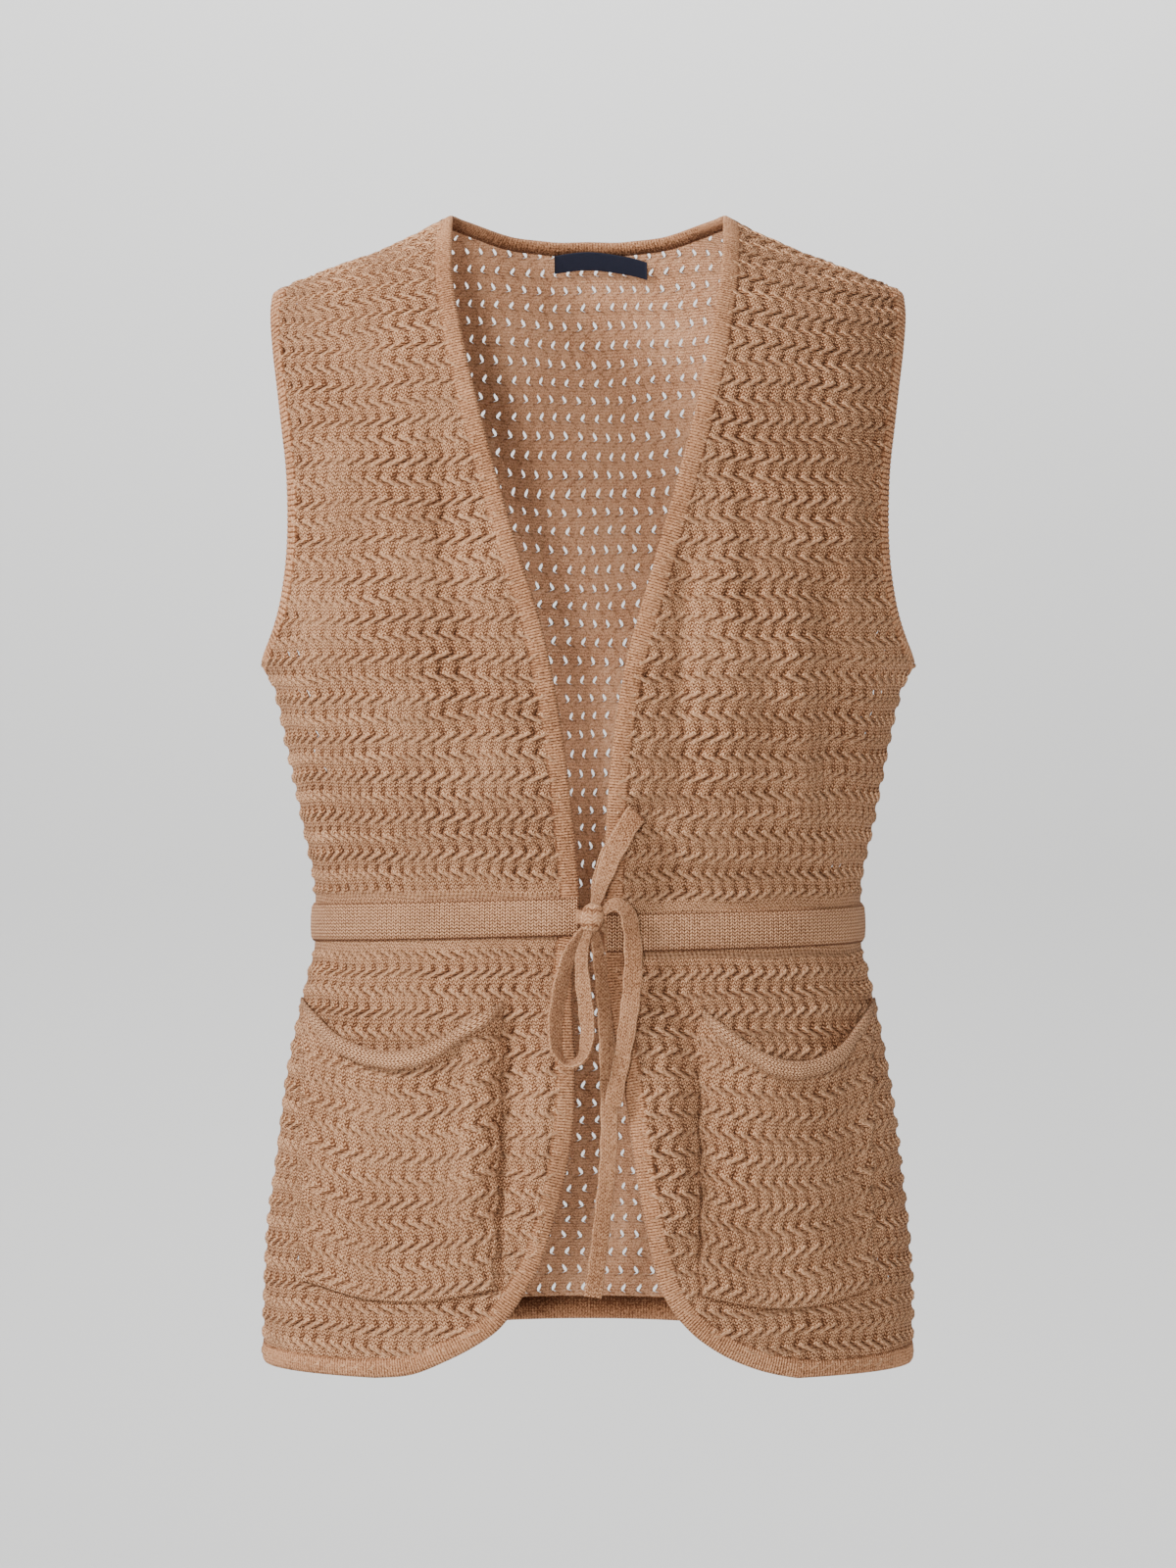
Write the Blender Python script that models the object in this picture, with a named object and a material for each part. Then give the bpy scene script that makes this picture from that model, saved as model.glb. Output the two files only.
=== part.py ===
"""Tie-front knit vest, worn and hollow. Metres, +Z up, the front faces -Y, the wearer's left is +X.

The origin lies midway between the two shoulder seams, at the height where the shoulders carry the vest.
The cloth follows two sheets, front and back. Each sheet has a column number u, from -1 at the wearer's
right side seam to +1 at the left one, and a height v, which is 0 where the cloth starts to turn over
towards the shoulder, negative below that and ROLL at the shoulder seam.
"""

import math

import bmesh
import bpy
import numpy as np
from mathutils import Vector
from mathutils.geometry import delaunay_2d_cdt

MM = 0.001
FRONT, BACK = -1, 1

# ---- driving dimensions ----
CLOTH = 2.0 * MM  # thickness of the cabled knit between its ridges
RIDGE = 1.2 * MM  # height of one row of cables over that
ROW_PITCH = 11.5 * MM  # one row of cables
SEAM_GAP = 0.4 * MM
BAND_WIDTH = 11.5 * MM  # ribbed band of the front edges
NECK_BAND_WIDTH = 8.0 * MM
BACK_HEM_WIDTH = 13.5 * MM
ARM_BAND_WIDTH = 9.3 * MM
HEM_Z = -0.667
UNDERARM_Z = -0.247
TURN_Z = -0.140  # height at which v is 0
ROLL = 0.180  # v at the shoulder seam
BACK_HEM_LIFT = 0.011  # how much higher the back hem lies at its centre
LIFT_FROM_Z = -0.520  # the lift starts here and is whole LIFT_HEIGHT lower
LIFT_HEIGHT = 0.130
SQUARENESS = 2.25  # exponent of a section: 2 is an ellipse
CASING_HEIGHT = 23.0 * MM
CASING_Z = -0.404  # middle of the casing at the side seams
CASING_RISE = {-1: 0.006, 1: -0.004}  # at the right and left front edge
CASING_STRIP = 6.0 * MM  # plain jersey above and below the casing
CASING_OVER_PANEL = 0.65 * MM  # how far its inside stands off the panels, and off the front bands
CASING_OVER_BAND = 1.65 * MM
CASING_STEP_AT = 15.0 * MM  # it steps up onto a front band over STEP_LENGTH, this far from its end
CASING_STEP_LENGTH = 6.0 * MM
CASING_EDGE, CASING_THICKNESS = 1.4 * MM, 2.2 * MM
CASING_SHORT = 1.0 * MM  # how far it ends short of the front edge
CASING_CUTS = {FRONT: 14, BACK: 26}  # cross-sections of each half front and of the back
ROOT_THICKNESS = 2.0 * MM  # the tie where it comes out of the casing
ROOT_HEIGHTS = (9.0 * MM, 7.0 * MM)  # at the casing and at the knot
ROOT_OVER_BAND = 1.0 * MM  # middle of a root off the casing's inside
ROOT_BEHIND_KNOT = 0.75 * MM  # and behind the knot's back
ROOT_FROM_CENTRE = 2.6 * MM
POCKET_WALL = 1.6 * MM  # thickness between its ridges
POCKET_LIFT = 0.9 * MM  # its inside stands this far off the front sheet where it is sewn down
POCKET_GAPE = 11.0 * MM  # how far a pocket's mouth stands off
POCKET_ROLL = 4.2 * MM  # thickness of its curled top
POCKET_SAG = 9.0 * MM  # how far its bottom hangs down in the middle
ROLL_ROWS = (2.1, 1.5, 1.0, 0.45)  # rows of points over the curl, in thicknesses below its top
TIE_THICKNESS = 2.2 * MM
LABEL_WIDTH, LABEL_THICKNESS = 58.0 * MM, 0.8 * MM
LABEL_X = 8.0 * MM  # its middle
LABEL_EDGES = (0.0965, 0.0875)  # v of its upper and lower side
LABEL_LIFT = 1.3 * MM  # how far it stands off the inside of the back

# Horizontal sections of the vest: height, half width, depth in front of the side seams and behind them.
SECTIONS = {
    "z": (-0.667, -0.640, -0.593, -0.545, -0.498, -0.463, -0.439,
          -0.418, -0.385, -0.345, -0.297, -0.262, -0.247, -0.140),
    "half_width": (0.1945, 0.1945, 0.1925, 0.1870, 0.1810, 0.1745, 0.1690,
                   0.1645, 0.1640, 0.1710, 0.1805, 0.1885, 0.1960, 0.1960),
    "front": (0.108, 0.108, 0.107, 0.105, 0.101, 0.097, 0.093,
              0.090, 0.090, 0.099, 0.109, 0.113, 0.113, 0.106),
    "back": (0.104, 0.104, 0.102, 0.098, 0.093, 0.086, 0.080,
             0.074, 0.072, 0.076, 0.083, 0.087, 0.088, 0.088),
}
# The shoulder line: distance from the centre, and height. Inside the neck point it only guides the neck.
SHOULDER = {
    "x": (-0.0243, 0.000, 0.0243, 0.0486, 0.0655, 0.081, 0.100, 0.125, 0.153, 0.182, 0.190, 0.198),
    "z": (0.0545, 0.0586, 0.0545, 0.0440, 0.0325, 0.0210, 0.0100, -0.0007, -0.0113, -0.0220, -0.0265, -0.0340),
}
# Free edge of the right front, from the shoulder down the neck and the opening, round to the hem.
EDGE_RIGHT = {
    "z": (0.0210, -0.022, -0.060, -0.115, -0.178, -0.237, -0.292, -0.350, -0.396, -0.435, -0.488,
          -0.520, -0.547, -0.573, -0.600, -0.619, -0.637, -0.647, -0.656, -0.664, HEM_Z, HEM_Z),
    "x": (-0.081, -0.0794, -0.073, -0.060, -0.0425, -0.0249, -0.0147, -0.008, -0.0048, -0.0090, -0.0074,
          -0.0085, -0.0125, -0.0193, -0.0278, -0.0386, -0.052, -0.066, -0.083, -0.102, -0.124, -0.194),
}
# The same of the left front, which hangs more open below the waist.
EDGE_LEFT = {
    "z": (0.0210, -0.014, -0.057, -0.100, -0.155, -0.205, -0.252, -0.298, -0.349, -0.395, -0.435,
          -0.469, -0.507, -0.545, -0.571, -0.597, -0.6205, -0.639, -0.652, -0.661, HEM_Z, HEM_Z),
    "x": (0.081, 0.0786, 0.072, 0.063, 0.0487, 0.0345, 0.0215, 0.0142, 0.0102, 0.0095, 0.0108,
          0.0153, 0.0221, 0.0272, 0.0318, 0.0374, 0.0455, 0.060, 0.078, 0.098, 0.122, 0.194),
}
# Outer edge of an armhole seen from the front, from the shoulder to the underarm.
ARMHOLE = {
    "z": (-0.0265, -0.037, -0.060, -0.085, -0.108, -0.132, -0.156,
          -0.179, -0.203, -0.220, -0.234, -0.243, UNDERARM_Z),
    "x": (0.190, 0.1905, 0.1885, 0.185, 0.182, 0.179, 0.1778,
          0.178, 0.1805, 0.184, 0.189, 0.1935, 0.196),
}
# Back neck edge: distance from the centre, and v.
NECK = {
    "x": (0.000, 0.0243, 0.0486, 0.0655, 0.077, 0.081),
    "v": (0.1006, 0.1035, 0.115, 0.135, 0.160, ROLL),
}
# Soft folds: each runs between two points seen from the front, and stands out (+) or in (-) by its depth.
FOLDS = (
    # sheet, x and z of its top, x and z of its foot, half width, depth
    (FRONT, 0.140, -0.175, 0.146, -0.372, 0.013, -0.0055),
    (FRONT, 0.120, -0.200, 0.124, -0.372, 0.014, 0.0035),
    (FRONT, -0.088, -0.090, -0.068, -0.330, 0.016, -0.0045),
    (FRONT, -0.120, -0.150, -0.108, -0.370, 0.018, 0.0030),
    (FRONT, 0.060, -0.170, 0.055, -0.350, 0.013, -0.0040),
    (FRONT, 0.085, -0.140, 0.080, -0.360, 0.016, 0.0030),
    (FRONT, -0.022, -0.428, -0.032, -0.610, 0.011, 0.0075),
    (FRONT, -0.046, -0.430, -0.055, -0.590, 0.011, -0.0050),
    (FRONT, 0.030, -0.430, 0.050, -0.610, 0.012, 0.0070),
    (FRONT, 0.055, -0.430, 0.072, -0.580, 0.011, -0.0050),
    (FRONT, -0.150, -0.430, -0.160, -0.640, 0.014, -0.0030),
    (FRONT, 0.150, -0.430, 0.160, -0.640, 0.014, -0.0030),
    (BACK, -0.100, -0.150, -0.070, -0.375, 0.018, -0.0050),
    (BACK, 0.105, -0.170, 0.075, -0.375, 0.018, -0.0050),
    (BACK, -0.010, -0.230, 0.006, -0.380, 0.020, 0.0035),
    (BACK, -0.110, -0.425, -0.120, -0.650, 0.016, 0.0050),
    (BACK, -0.045, -0.425, -0.052, -0.640, 0.015, -0.0045),
    (BACK, 0.015, -0.425, 0.018, -0.650, 0.016, 0.0050),
    (BACK, 0.070, -0.425, 0.078, -0.640, 0.015, -0.0045),
    (BACK, 0.125, -0.425, 0.135, -0.650, 0.016, 0.0045),
)
# Pockets: side is -1 for the wearer's right. x of the edge near the opening and of the one near the side
# seam, heights of the mouth's two corners, of its lowest point, and of the pocket's bottom.
POCKETS = {
    "pocket_right": {"side": -1, "inner": (0.0500, 0.0545), "outer": (0.1690, 0.1680),
                     "mouth": (-0.447, -0.449), "sag": -0.479, "bottom": -0.613},
    "pocket_left": {"side": 1, "inner": (0.0665, 0.0650), "outer": (0.1690, 0.1680),
                    "mouth": (-0.451, -0.449), "sag": -0.485, "bottom": -0.617},
}
# Routes of the tie: x, z, how far it stands off the front sheet, turn of its flat face in degrees, width.
# Each starts at the knot. The ear and the loop go back to it.
TIE_ROUTES = {
    "tie_ear": (
        (0.0090, -0.3760, 0.0125, 15, 0.0095), (0.0135, -0.3640, 0.0105, 15, 0.0115),
        (0.0195, -0.3520, 0.0090, 10, 0.0125), (0.0250, -0.3425, 0.0080, 5, 0.0125),
        (0.0278, -0.3385, 0.0062, 0, 0.0125), (0.0262, -0.3410, 0.0044, -5, 0.0125),
        (0.0200, -0.3500, 0.0042, -10, 0.0120), (0.0125, -0.3620, 0.0040, -10, 0.0110),
        (0.0065, -0.3760, 0.0040, -10, 0.0080),
    ),
    "tie_loop": (
        (-0.0100, -0.4170, 0.0085, 25, 0.0080), (-0.0140, -0.4300, 0.0095, 30, 0.0100),
        (-0.0178, -0.4470, 0.0105, 35, 0.0105), (-0.0195, -0.4640, 0.0115, 40, 0.0100),
        (-0.0180, -0.4760, 0.0130, 55, 0.0090), (-0.0120, -0.4830, 0.0150, 75, 0.0085),
        (-0.0045, -0.4800, 0.0175, 60, 0.0090), (-0.0005, -0.4680, 0.0185, 40, 0.0100),
        (-0.0010, -0.4520, 0.0185, 30, 0.0100), (-0.0030, -0.4350, 0.0180, 25, 0.0095),
        (-0.0035, -0.4200, 0.0170, 20, 0.0075),
    ),
    "tie_tail_short": (
        (0.0165, -0.3905, 0.0140, 30, 0.0085), (0.0218, -0.3945, 0.0140, 30, 0.0100),
        (0.0250, -0.4060, 0.0125, 20, 0.0108), (0.0262, -0.4200, 0.0115, 10, 0.0110),
        (0.0255, -0.4380, 0.0110, 0, 0.0110), (0.0232, -0.4580, 0.0105, -5, 0.0108),
        (0.0200, -0.4780, 0.0100, -10, 0.0100), (0.0165, -0.4950, 0.0095, -5, 0.0100),
        (0.0142, -0.5070, 0.0090, 0, 0.0100),
    ),
    "tie_tail_long": (
        (0.0062, -0.4203, 0.0065, 20, 0.0080), (0.0076, -0.4345, 0.0060, 30, 0.0085),
        (0.0098, -0.4572, 0.0050, 20, 0.0090), (0.0112, -0.4856, 0.0040, 10, 0.0095),
        (0.0122, -0.5139, 0.0040, 0, 0.0100), (0.0117, -0.5367, 0.0040, 0, 0.0100),
        (0.0085, -0.5707, 0.0035, 5, 0.0100), (0.0045, -0.6048, 0.0030, 5, 0.0105),
        (0.0028, -0.6173, 0.0030, 0, 0.0105),
    ),
}
TIE_RETURNS = ("tie_ear", "tie_loop")
TIE_WIDTH_AT_KNOT = 5.0 * MM
KNOT_CENTRE = (0.0023, -0.1015, -0.3985)
KNOT_HALF = (0.0072, 0.0055, 0.0085)

# Distances used to cut the sheets into faces.
QUARTER = 0.24  # length of cloth from the centre to a side seam, near enough
COLUMN_STEP = {FRONT: 0.0245, BACK: 0.038}
EDGE_STEP = 0.021  # longest stretch of an edge between two of its points
EDGE_TURN = math.radians(9)  # largest turn of an edge at one point
NEAR_EDGE = 3.5 * MM  # points of a row this near an outline are left out
COVER_MARGIN = 1.5 * MM  # the plain ground under a pocket is this much wider
PAST_SIDE = 0.05  # rows run this far past the sides, where the outline cuts them
INNER_ROWS = 4  # the plain inside has one row of points for this many of the outside's

COLOURS = {
    "knit": (0.46, 0.29, 0.18),
    "rib": (0.50, 0.32, 0.20),
    "tie": (0.40, 0.25, 0.155),
    "label": (0.012, 0.014, 0.028),
}


# ---- small tools ----
def smooth(xs, ys, at):
    """Reads a table along a smooth curve that never overshoots its rows."""
    order = np.argsort(xs, kind="stable")
    xs, ys, at = np.asarray(xs, float)[order], np.asarray(ys, float)[order], np.asarray(at, float)
    step = np.diff(xs)
    slope = np.diff(ys) / step
    tangent = np.zeros(len(xs))
    both = slope[:-1] * slope[1:] > 0
    tangent[1:-1][both] = 2 * slope[:-1][both] * slope[1:][both] / (slope[:-1] + slope[1:])[both]
    tangent[0], tangent[-1] = slope[0], slope[-1]
    i = np.clip(np.searchsorted(xs, at) - 1, 0, len(step) - 1)
    t = np.clip((at - xs[i]) / step[i], 0, 1)
    return (
        ys[i] * (2 * t**3 - 3 * t**2 + 1)
        + tangent[i] * step[i] * (t**3 - 2 * t**2 + t)
        + ys[i + 1] * (3 * t**2 - 2 * t**3)
        + tangent[i + 1] * step[i] * (t**3 - t**2)
    )


def ease(t):
    t = np.clip(t, 0, 1)
    return t * t * (3 - 2 * t)


def unit(vectors):
    return vectors / np.maximum(np.linalg.norm(vectors, axis=-1, keepdims=True), 1e-12)


def curve_through(points, count):
    """A smooth open curve through the points, of any number of columns, at equal steps along it."""
    points = np.asarray(points, float)
    along = np.concatenate([[0], np.cumsum(np.linalg.norm(np.diff(points[:, :3], axis=0), axis=1))])
    at = np.linspace(0, along[-1], count)
    tangent = np.gradient(points, along, axis=0)
    i = np.clip(np.searchsorted(along, at) - 1, 0, len(points) - 2)
    step = (along[i + 1] - along[i])[:, None]
    t = ((at - along[i])[:, None]) / step
    return (
        points[i] * (2 * t**3 - 3 * t**2 + 1)
        + tangent[i] * step * (t**3 - 2 * t**2 + t)
        + points[i + 1] * (3 * t**2 - 2 * t**3)
        + tangent[i + 1] * step * (t**3 - t**2)
    )


# ---- the two sheets ----
class Sheet:
    """One of the two sheets: its points and outward normals on a fine lattice of u and v."""

    U = np.linspace(-1, 1, 321)
    V = np.linspace(HEM_Z - TURN_Z, ROLL, 401)

    def __init__(self, side):
        self.side = side
        self.flat_x = np.empty((len(self.V), len(self.U)))
        flat_y = np.empty_like(self.flat_x)
        turn = np.linspace(-math.pi / 2, math.pi / 2, 1201)
        for row, v in enumerate(self.V):
            z = TURN_Z + min(v, 0)
            width = smooth(SECTIONS["z"], SECTIONS["half_width"], z)
            depth = smooth(SECTIONS["z"], SECTIONS["front" if side == FRONT else "back"], z)
            x = width * np.sign(np.sin(turn)) * np.abs(np.sin(turn)) ** (2 / SQUARENESS)
            y = side * depth * np.cos(turn).clip(0) ** (2 / SQUARENESS)
            along = np.concatenate([[0], np.cumsum(np.hypot(np.diff(x), np.diff(y)))])
            at = (self.U + 1) / 2 * along[-1]
            self.flat_x[row] = np.interp(at, along, x)
            flat_y[row] = np.interp(at, along, y)
        over = np.clip(self.V / ROLL, 0, 1)[:, None] * math.pi / 2
        rise = smooth(SHOULDER["x"], SHOULDER["z"], np.abs(self.flat_x)) - TURN_Z
        z = TURN_Z + np.minimum(self.V, 0)[:, None] + rise * np.sin(over)
        if side == BACK:
            z = z + BACK_HEM_LIFT * (1 - self.U**2) ** 2 * ease((LIFT_FROM_Z - z) / LIFT_HEIGHT)
        self.points = np.stack([self.flat_x, flat_y * np.cos(over), z], axis=-1)
        self.normals = self.find_normals()
        self.points = self.points + self.normals * self.folds()[..., None]
        self.normals = self.find_normals()

    def find_normals(self):
        across, up = np.gradient(self.points, axis=1), np.gradient(self.points, axis=0)
        return unit(np.cross(across, up)) * -self.side

    def folds(self):
        out = np.zeros(self.points.shape[:2])
        x, z = self.points[..., 0], self.points[..., 2]
        for side, top_x, top_z, foot_x, foot_z, width, depth in FOLDS:
            if side != self.side:
                continue
            run = np.array([foot_x - top_x, foot_z - top_z])
            length = np.hypot(*run)
            along = ((x - top_x) * run[0] + (z - top_z) * run[1]) / length**2
            off = ((x - top_x) * run[1] - (z - top_z) * run[0]) / length
            ends = ease(along / 0.25) * ease((1 - along) / 0.25)
            out += depth * np.exp(-((off / width) ** 2)) * ends
        return out

    def read(self, lattice, u, v):
        """The lattice's values at u and v, straight between its points."""
        col = np.clip((np.asarray(u, float) + 1) / 2 * (len(self.U) - 1), 0, len(self.U) - 1.001)
        row = (np.asarray(v, float) - self.V[0]) / (self.V[-1] - self.V[0]) * (len(self.V) - 1)
        row = np.clip(row, 0, len(self.V) - 1.001)
        c, r = col.astype(int), row.astype(int)
        s, t = col - c, row - r
        if lattice.ndim == 3:
            s, t = s[..., None], t[..., None]
        lower = lattice[r, c] * (1 - s) + lattice[r, c + 1] * s
        upper = lattice[r + 1, c] * (1 - s) + lattice[r + 1, c + 1] * s
        return lower * (1 - t) + upper * t

    def at(self, u, v, out=0.0):
        normal = unit(self.read(self.normals, u, v))
        return self.read(self.points, u, v) + normal * np.asarray(out)[..., None]

    def u_of(self, x, v):
        """The column at distance x from the centre plane, at height v."""
        return np.array([
            np.interp(one_x, self.read(self.flat_x, self.U, np.full(len(self.U), one_v)), self.U)
            for one_x, one_v in zip(np.atleast_1d(x), np.atleast_1d(v))
        ])

    @staticmethod
    def v_of(x, z):
        """The v of a point seen at x and height z."""
        x, z = np.atleast_1d(x).astype(float), np.atleast_1d(z).astype(float)
        rise = smooth(SHOULDER["x"], SHOULDER["z"], np.abs(x)) - TURN_Z
        over = np.arcsin(np.clip((z - TURN_Z) / rise, 0, 1)) / (math.pi / 2) * ROLL
        return np.where(z > TURN_Z, over, z - TURN_Z)

    def line(self, x, z, count=500):
        """A smooth line on the sheet through points seen at x and z, as u and v."""
        path = curve_through(np.stack([x, np.zeros(len(x)), z], axis=1), count)
        v = self.v_of(path[:, 0], path[:, 2])
        return np.stack([self.u_of(path[:, 0], v), v], axis=1)

    def moved(self, line, distance):
        """The line moved sideways over the cloth, to its left seen from outside."""
        points = self.at(line[:, 0], line[:, 1])
        tangent = unit(np.gradient(points, axis=0))
        side = np.cross(unit(self.read(self.normals, line[:, 0], line[:, 1])), tangent) * distance
        step = 1e-3
        u, v = line[:, 0], np.clip(line[:, 1], self.V[0] + step, ROLL - step)
        inside = np.clip(u, -1 + step, 1 - step)
        along_u = (self.at(inside + step, v) - self.at(inside - step, v)) / (2 * step)
        along_v = (self.at(u, v + step) - self.at(u, v - step)) / (2 * step)
        a, b, c = (along_u**2).sum(1), (along_u * along_v).sum(1), (along_v**2).sum(1)
        d, e = (along_u * side).sum(1), (along_v * side).sum(1)
        det = a * c - b * b
        return line + np.stack([(c * d - b * e) / det, (a * e - b * d) / det], axis=1)


SHEETS = {side: Sheet(side) for side in (FRONT, BACK)}


def casing_z(u, side):
    """Height of the casing's middle line."""
    rise = np.where(u < 0, CASING_RISE[-1], CASING_RISE[1]) * (1 - np.abs(u))
    return CASING_Z + (rise if side == FRONT else 0 * rise)


# ---- edges ----
class Edge:
    """A free edge with a ribbed band: its outer line, the band's other side and the panel's own edge."""

    def __init__(self, sheet, line, width, fixed):
        """fixed holds the u or v that each end of the line keeps, as ('u' or 'v', value) for both ends."""
        self.sheet = sheet
        self.outer = line
        self.seam = self.held(sheet.moved(line, width), fixed)
        self.panel = self.held(sheet.moved(line, width + math.copysign(SEAM_GAP, width)), fixed)
        points = sheet.at(line[:, 0], line[:, 1])
        step = np.diff(points, axis=0)
        length = np.linalg.norm(step, axis=1)
        turn = np.arccos(np.clip((unit(step)[1:] * unit(step)[:-1]).sum(1), -1, 1))
        keep, run, bend = [0], 0.0, 0.0
        for i in range(1, len(points) - 1):
            run += length[i - 1]
            bend += turn[i - 1]
            if run > EDGE_STEP or bend > EDGE_TURN and run > EDGE_STEP / 4:
                keep.append(i)
                run = bend = 0.0
        if run < EDGE_STEP / 5 and len(keep) > 1:
            keep.pop()
        self.keep = np.array(keep + [len(points) - 1])

    @staticmethod
    def held(line, fixed):
        for end, (axis, value) in zip((0, -1), fixed):
            line[end, 0 if axis == "u" else 1] = value
        line[:, 0] = np.clip(line[:, 0], -1, 1)
        line[:, 1] = np.minimum(line[:, 1], ROLL)
        return line

    def panel_points(self):
        return self.panel[self.keep]

    def sections(self, profile):
        """The band's cross-sections, one for each kept point."""
        outer, seam = self.outer[self.keep], self.seam[self.keep]
        a, b = self.sheet.at(seam[:, 0], seam[:, 1]), self.sheet.at(outer[:, 0], outer[:, 1])
        na = unit(self.sheet.read(self.sheet.normals, seam[:, 0], seam[:, 1]))
        nb = unit(self.sheet.read(self.sheet.normals, outer[:, 0], outer[:, 1]))
        rings = [a + (b - a) * across + unit(na + (nb - na) * across) * out for across, out in profile]
        return np.stack(rings, axis=1)


BAND_PROFILE = (
    (0.00, -CLOTH), (0.00, 0.8 * MM), (0.84, 0.9 * MM), (1.00, -0.6 * MM), (0.84, -CLOTH),
)


def front_edge(side):
    table = EDGE_RIGHT if side < 0 else EDGE_LEFT
    sheet = SHEETS[FRONT]
    line = sheet.line(table["x"], table["z"])
    line[0, 1], line[-1, 0] = ROLL, side
    return Edge(sheet, line, side * BAND_WIDTH, (("v", ROLL), ("u", side)))


def arm_edge(side, part):
    sheet = SHEETS[part]
    line = sheet.line(side * np.array(ARMHOLE["x"]), ARMHOLE["z"])
    line[0, 1], line[-1, 0] = ROLL, side
    return Edge(sheet, line, side * part * ARM_BAND_WIDTH, (("v", ROLL), ("u", side)))


def neck_edge():
    """The back neck, from the right shoulder to the left one."""
    sheet = SHEETS[BACK]
    x = np.concatenate([-np.array(NECK["x"])[::-1], NECK["x"][1:]])
    v = np.concatenate([np.array(NECK["v"])[::-1], NECK["v"][1:]])
    path = curve_through(np.stack([x, np.zeros(len(x)), v], axis=1), 500)
    v = np.minimum(path[:, 2], ROLL)
    line = np.stack([sheet.u_of(path[:, 0], v), v], axis=1)
    line[0, 1] = line[-1, 1] = ROLL
    return Edge(sheet, line, NECK_BAND_WIDTH, (("v", ROLL), ("v", ROLL)))


def hem_edge():
    """The back hem, from the left side seam to the right one."""
    v = HEM_Z - TURN_Z
    line = np.stack([np.linspace(1, -1, 400), np.full(400, v)], axis=1)
    return Edge(SHEETS[BACK], line, BACK_HEM_WIDTH, (("u", 1), ("u", -1)))


# ---- ridges ----
def pocket_lines(name, across):
    """Heights of a pocket's mouth and bottom, across it from the edge near the opening."""
    row = POCKETS[name]
    sag = np.sin(math.pi * across)
    corner = row["mouth"][0] + (row["mouth"][1] - row["mouth"][0]) * across
    mouth = corner + (row["sag"] - (row["mouth"][0] + row["mouth"][1]) / 2) * sag
    return mouth, row["bottom"] - POCKET_SAG * sag


def pocket_point(name, across, up):
    """x and z of a place in a pocket, from its bottom (up = 0) to its mouth (up = 1)."""
    row = POCKETS[name]
    mouth, bottom = pocket_lines(name, across)
    z = bottom + (mouth - bottom) * up
    inner = row["inner"][1] + (row["inner"][0] - row["inner"][1]) * up
    outer = row["outer"][1] + (row["outer"][0] - row["outer"][1]) * up
    return row["side"] * (inner + (outer - inner) * across), z


def pocket_outline(name):
    """The pocket's outline on the front sheet, COVER_MARGIN outside it, as u and v."""
    s = np.linspace(0, 1, 7)
    path = [(a, 0.0) for a in s] + [(1.0, b) for b in s[2:-1:2]] + [(a, 1.0) for a in s[::-1]]
    path += [(0.0, b) for b in s[-3:0:-2]]
    across, up = np.array(path).T
    x, z = pocket_point(name, across, up)
    middle = np.array([x.mean(), z.mean()])
    away = unit(np.stack([x, z], axis=1) - middle)
    x, z = x + away[:, 0] * COVER_MARGIN, z + away[:, 1] * COVER_MARGIN
    v = SHEETS[FRONT].v_of(x, z)
    return np.stack([SHEETS[FRONT].u_of(x, v), v], axis=1)


def inside(points, outline, hair=1e-5):
    """Which points lie in a closed outline or within a hair of it."""
    a, b = outline, np.roll(outline, -1, axis=0)
    px, py = points[:, :1], points[:, 1:]
    crosses = (a[:, 1] > py) != (b[:, 1] > py)
    at = a[:, 0] + (py - a[:, 1]) / np.where(b[:, 1] == a[:, 1], 1, b[:, 1] - a[:, 1]) * (b - a)[:, 0]
    return ((crosses & (px < at)).sum(1) % 2 == 1) | (edge_distance(points, outline) < hair)


def edge_distance(points, outline):
    """Distance of each point from a closed outline."""
    a, b = outline, np.roll(outline, -1, axis=0)
    run = b - a
    t = ((points[:, None] - a) * run).sum(-1) / np.maximum((run**2).sum(-1), 1e-18)
    near = a + run * np.clip(t, 0, 1)[..., None]
    return np.linalg.norm(points[:, None] - near, axis=-1).min(axis=1)


def ridge(side, points, covers):
    """Height of the cable ridges over the sheet: none beside the casing or under a pocket."""
    along, v = points.T
    height = RIDGE * (0.5 - 0.5 * np.cos(2 * math.pi * (v - (HEM_Z - TURN_Z)) / ROW_PITCH))
    off = np.abs(v + TURN_Z - casing_z(along / QUARTER, side))
    height[off < CASING_HEIGHT / 2 + CASING_STRIP] = 0
    for cover in covers:
        height[inside(points, cover)] = 0
    return height


# ---- solids ----
def material(name):
    found = bpy.data.materials.get(name)
    if found:
        return found
    made = bpy.data.materials.new(name)
    made.use_nodes = True
    shader = made.node_tree.nodes["Principled BSDF"]
    shader.inputs["Base Color"].default_value = (*COLOURS[name.split(".")[0]], 1)
    shader.inputs["Roughness"].default_value = 0.9
    shader.inputs["Metallic"].default_value = 0
    return made


def add_solid(name, points, faces, kind):
    mesh = bpy.data.meshes.new(name)
    mesh.from_pydata([tuple(p) for p in np.asarray(points, float)], [], [tuple(f) for f in faces])
    work = bmesh.new()
    work.from_mesh(mesh)
    bmesh.ops.delete(work, geom=[v for v in work.verts if not v.link_faces], context="VERTS")
    bmesh.ops.recalc_face_normals(work, faces=work.faces)
    if work.calc_volume(signed=True) < 0:
        bmesh.ops.reverse_faces(work, faces=work.faces)
    work.to_mesh(mesh)
    work.free()
    mesh.shade_smooth()
    mesh.set_sharp_from_angle(angle=math.radians(40))
    mesh.materials.append(material(f"{kind}.{name}"))
    obj = bpy.data.objects.new(name, mesh)
    bpy.context.scene.collection.objects.link(obj)
    return obj


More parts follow.
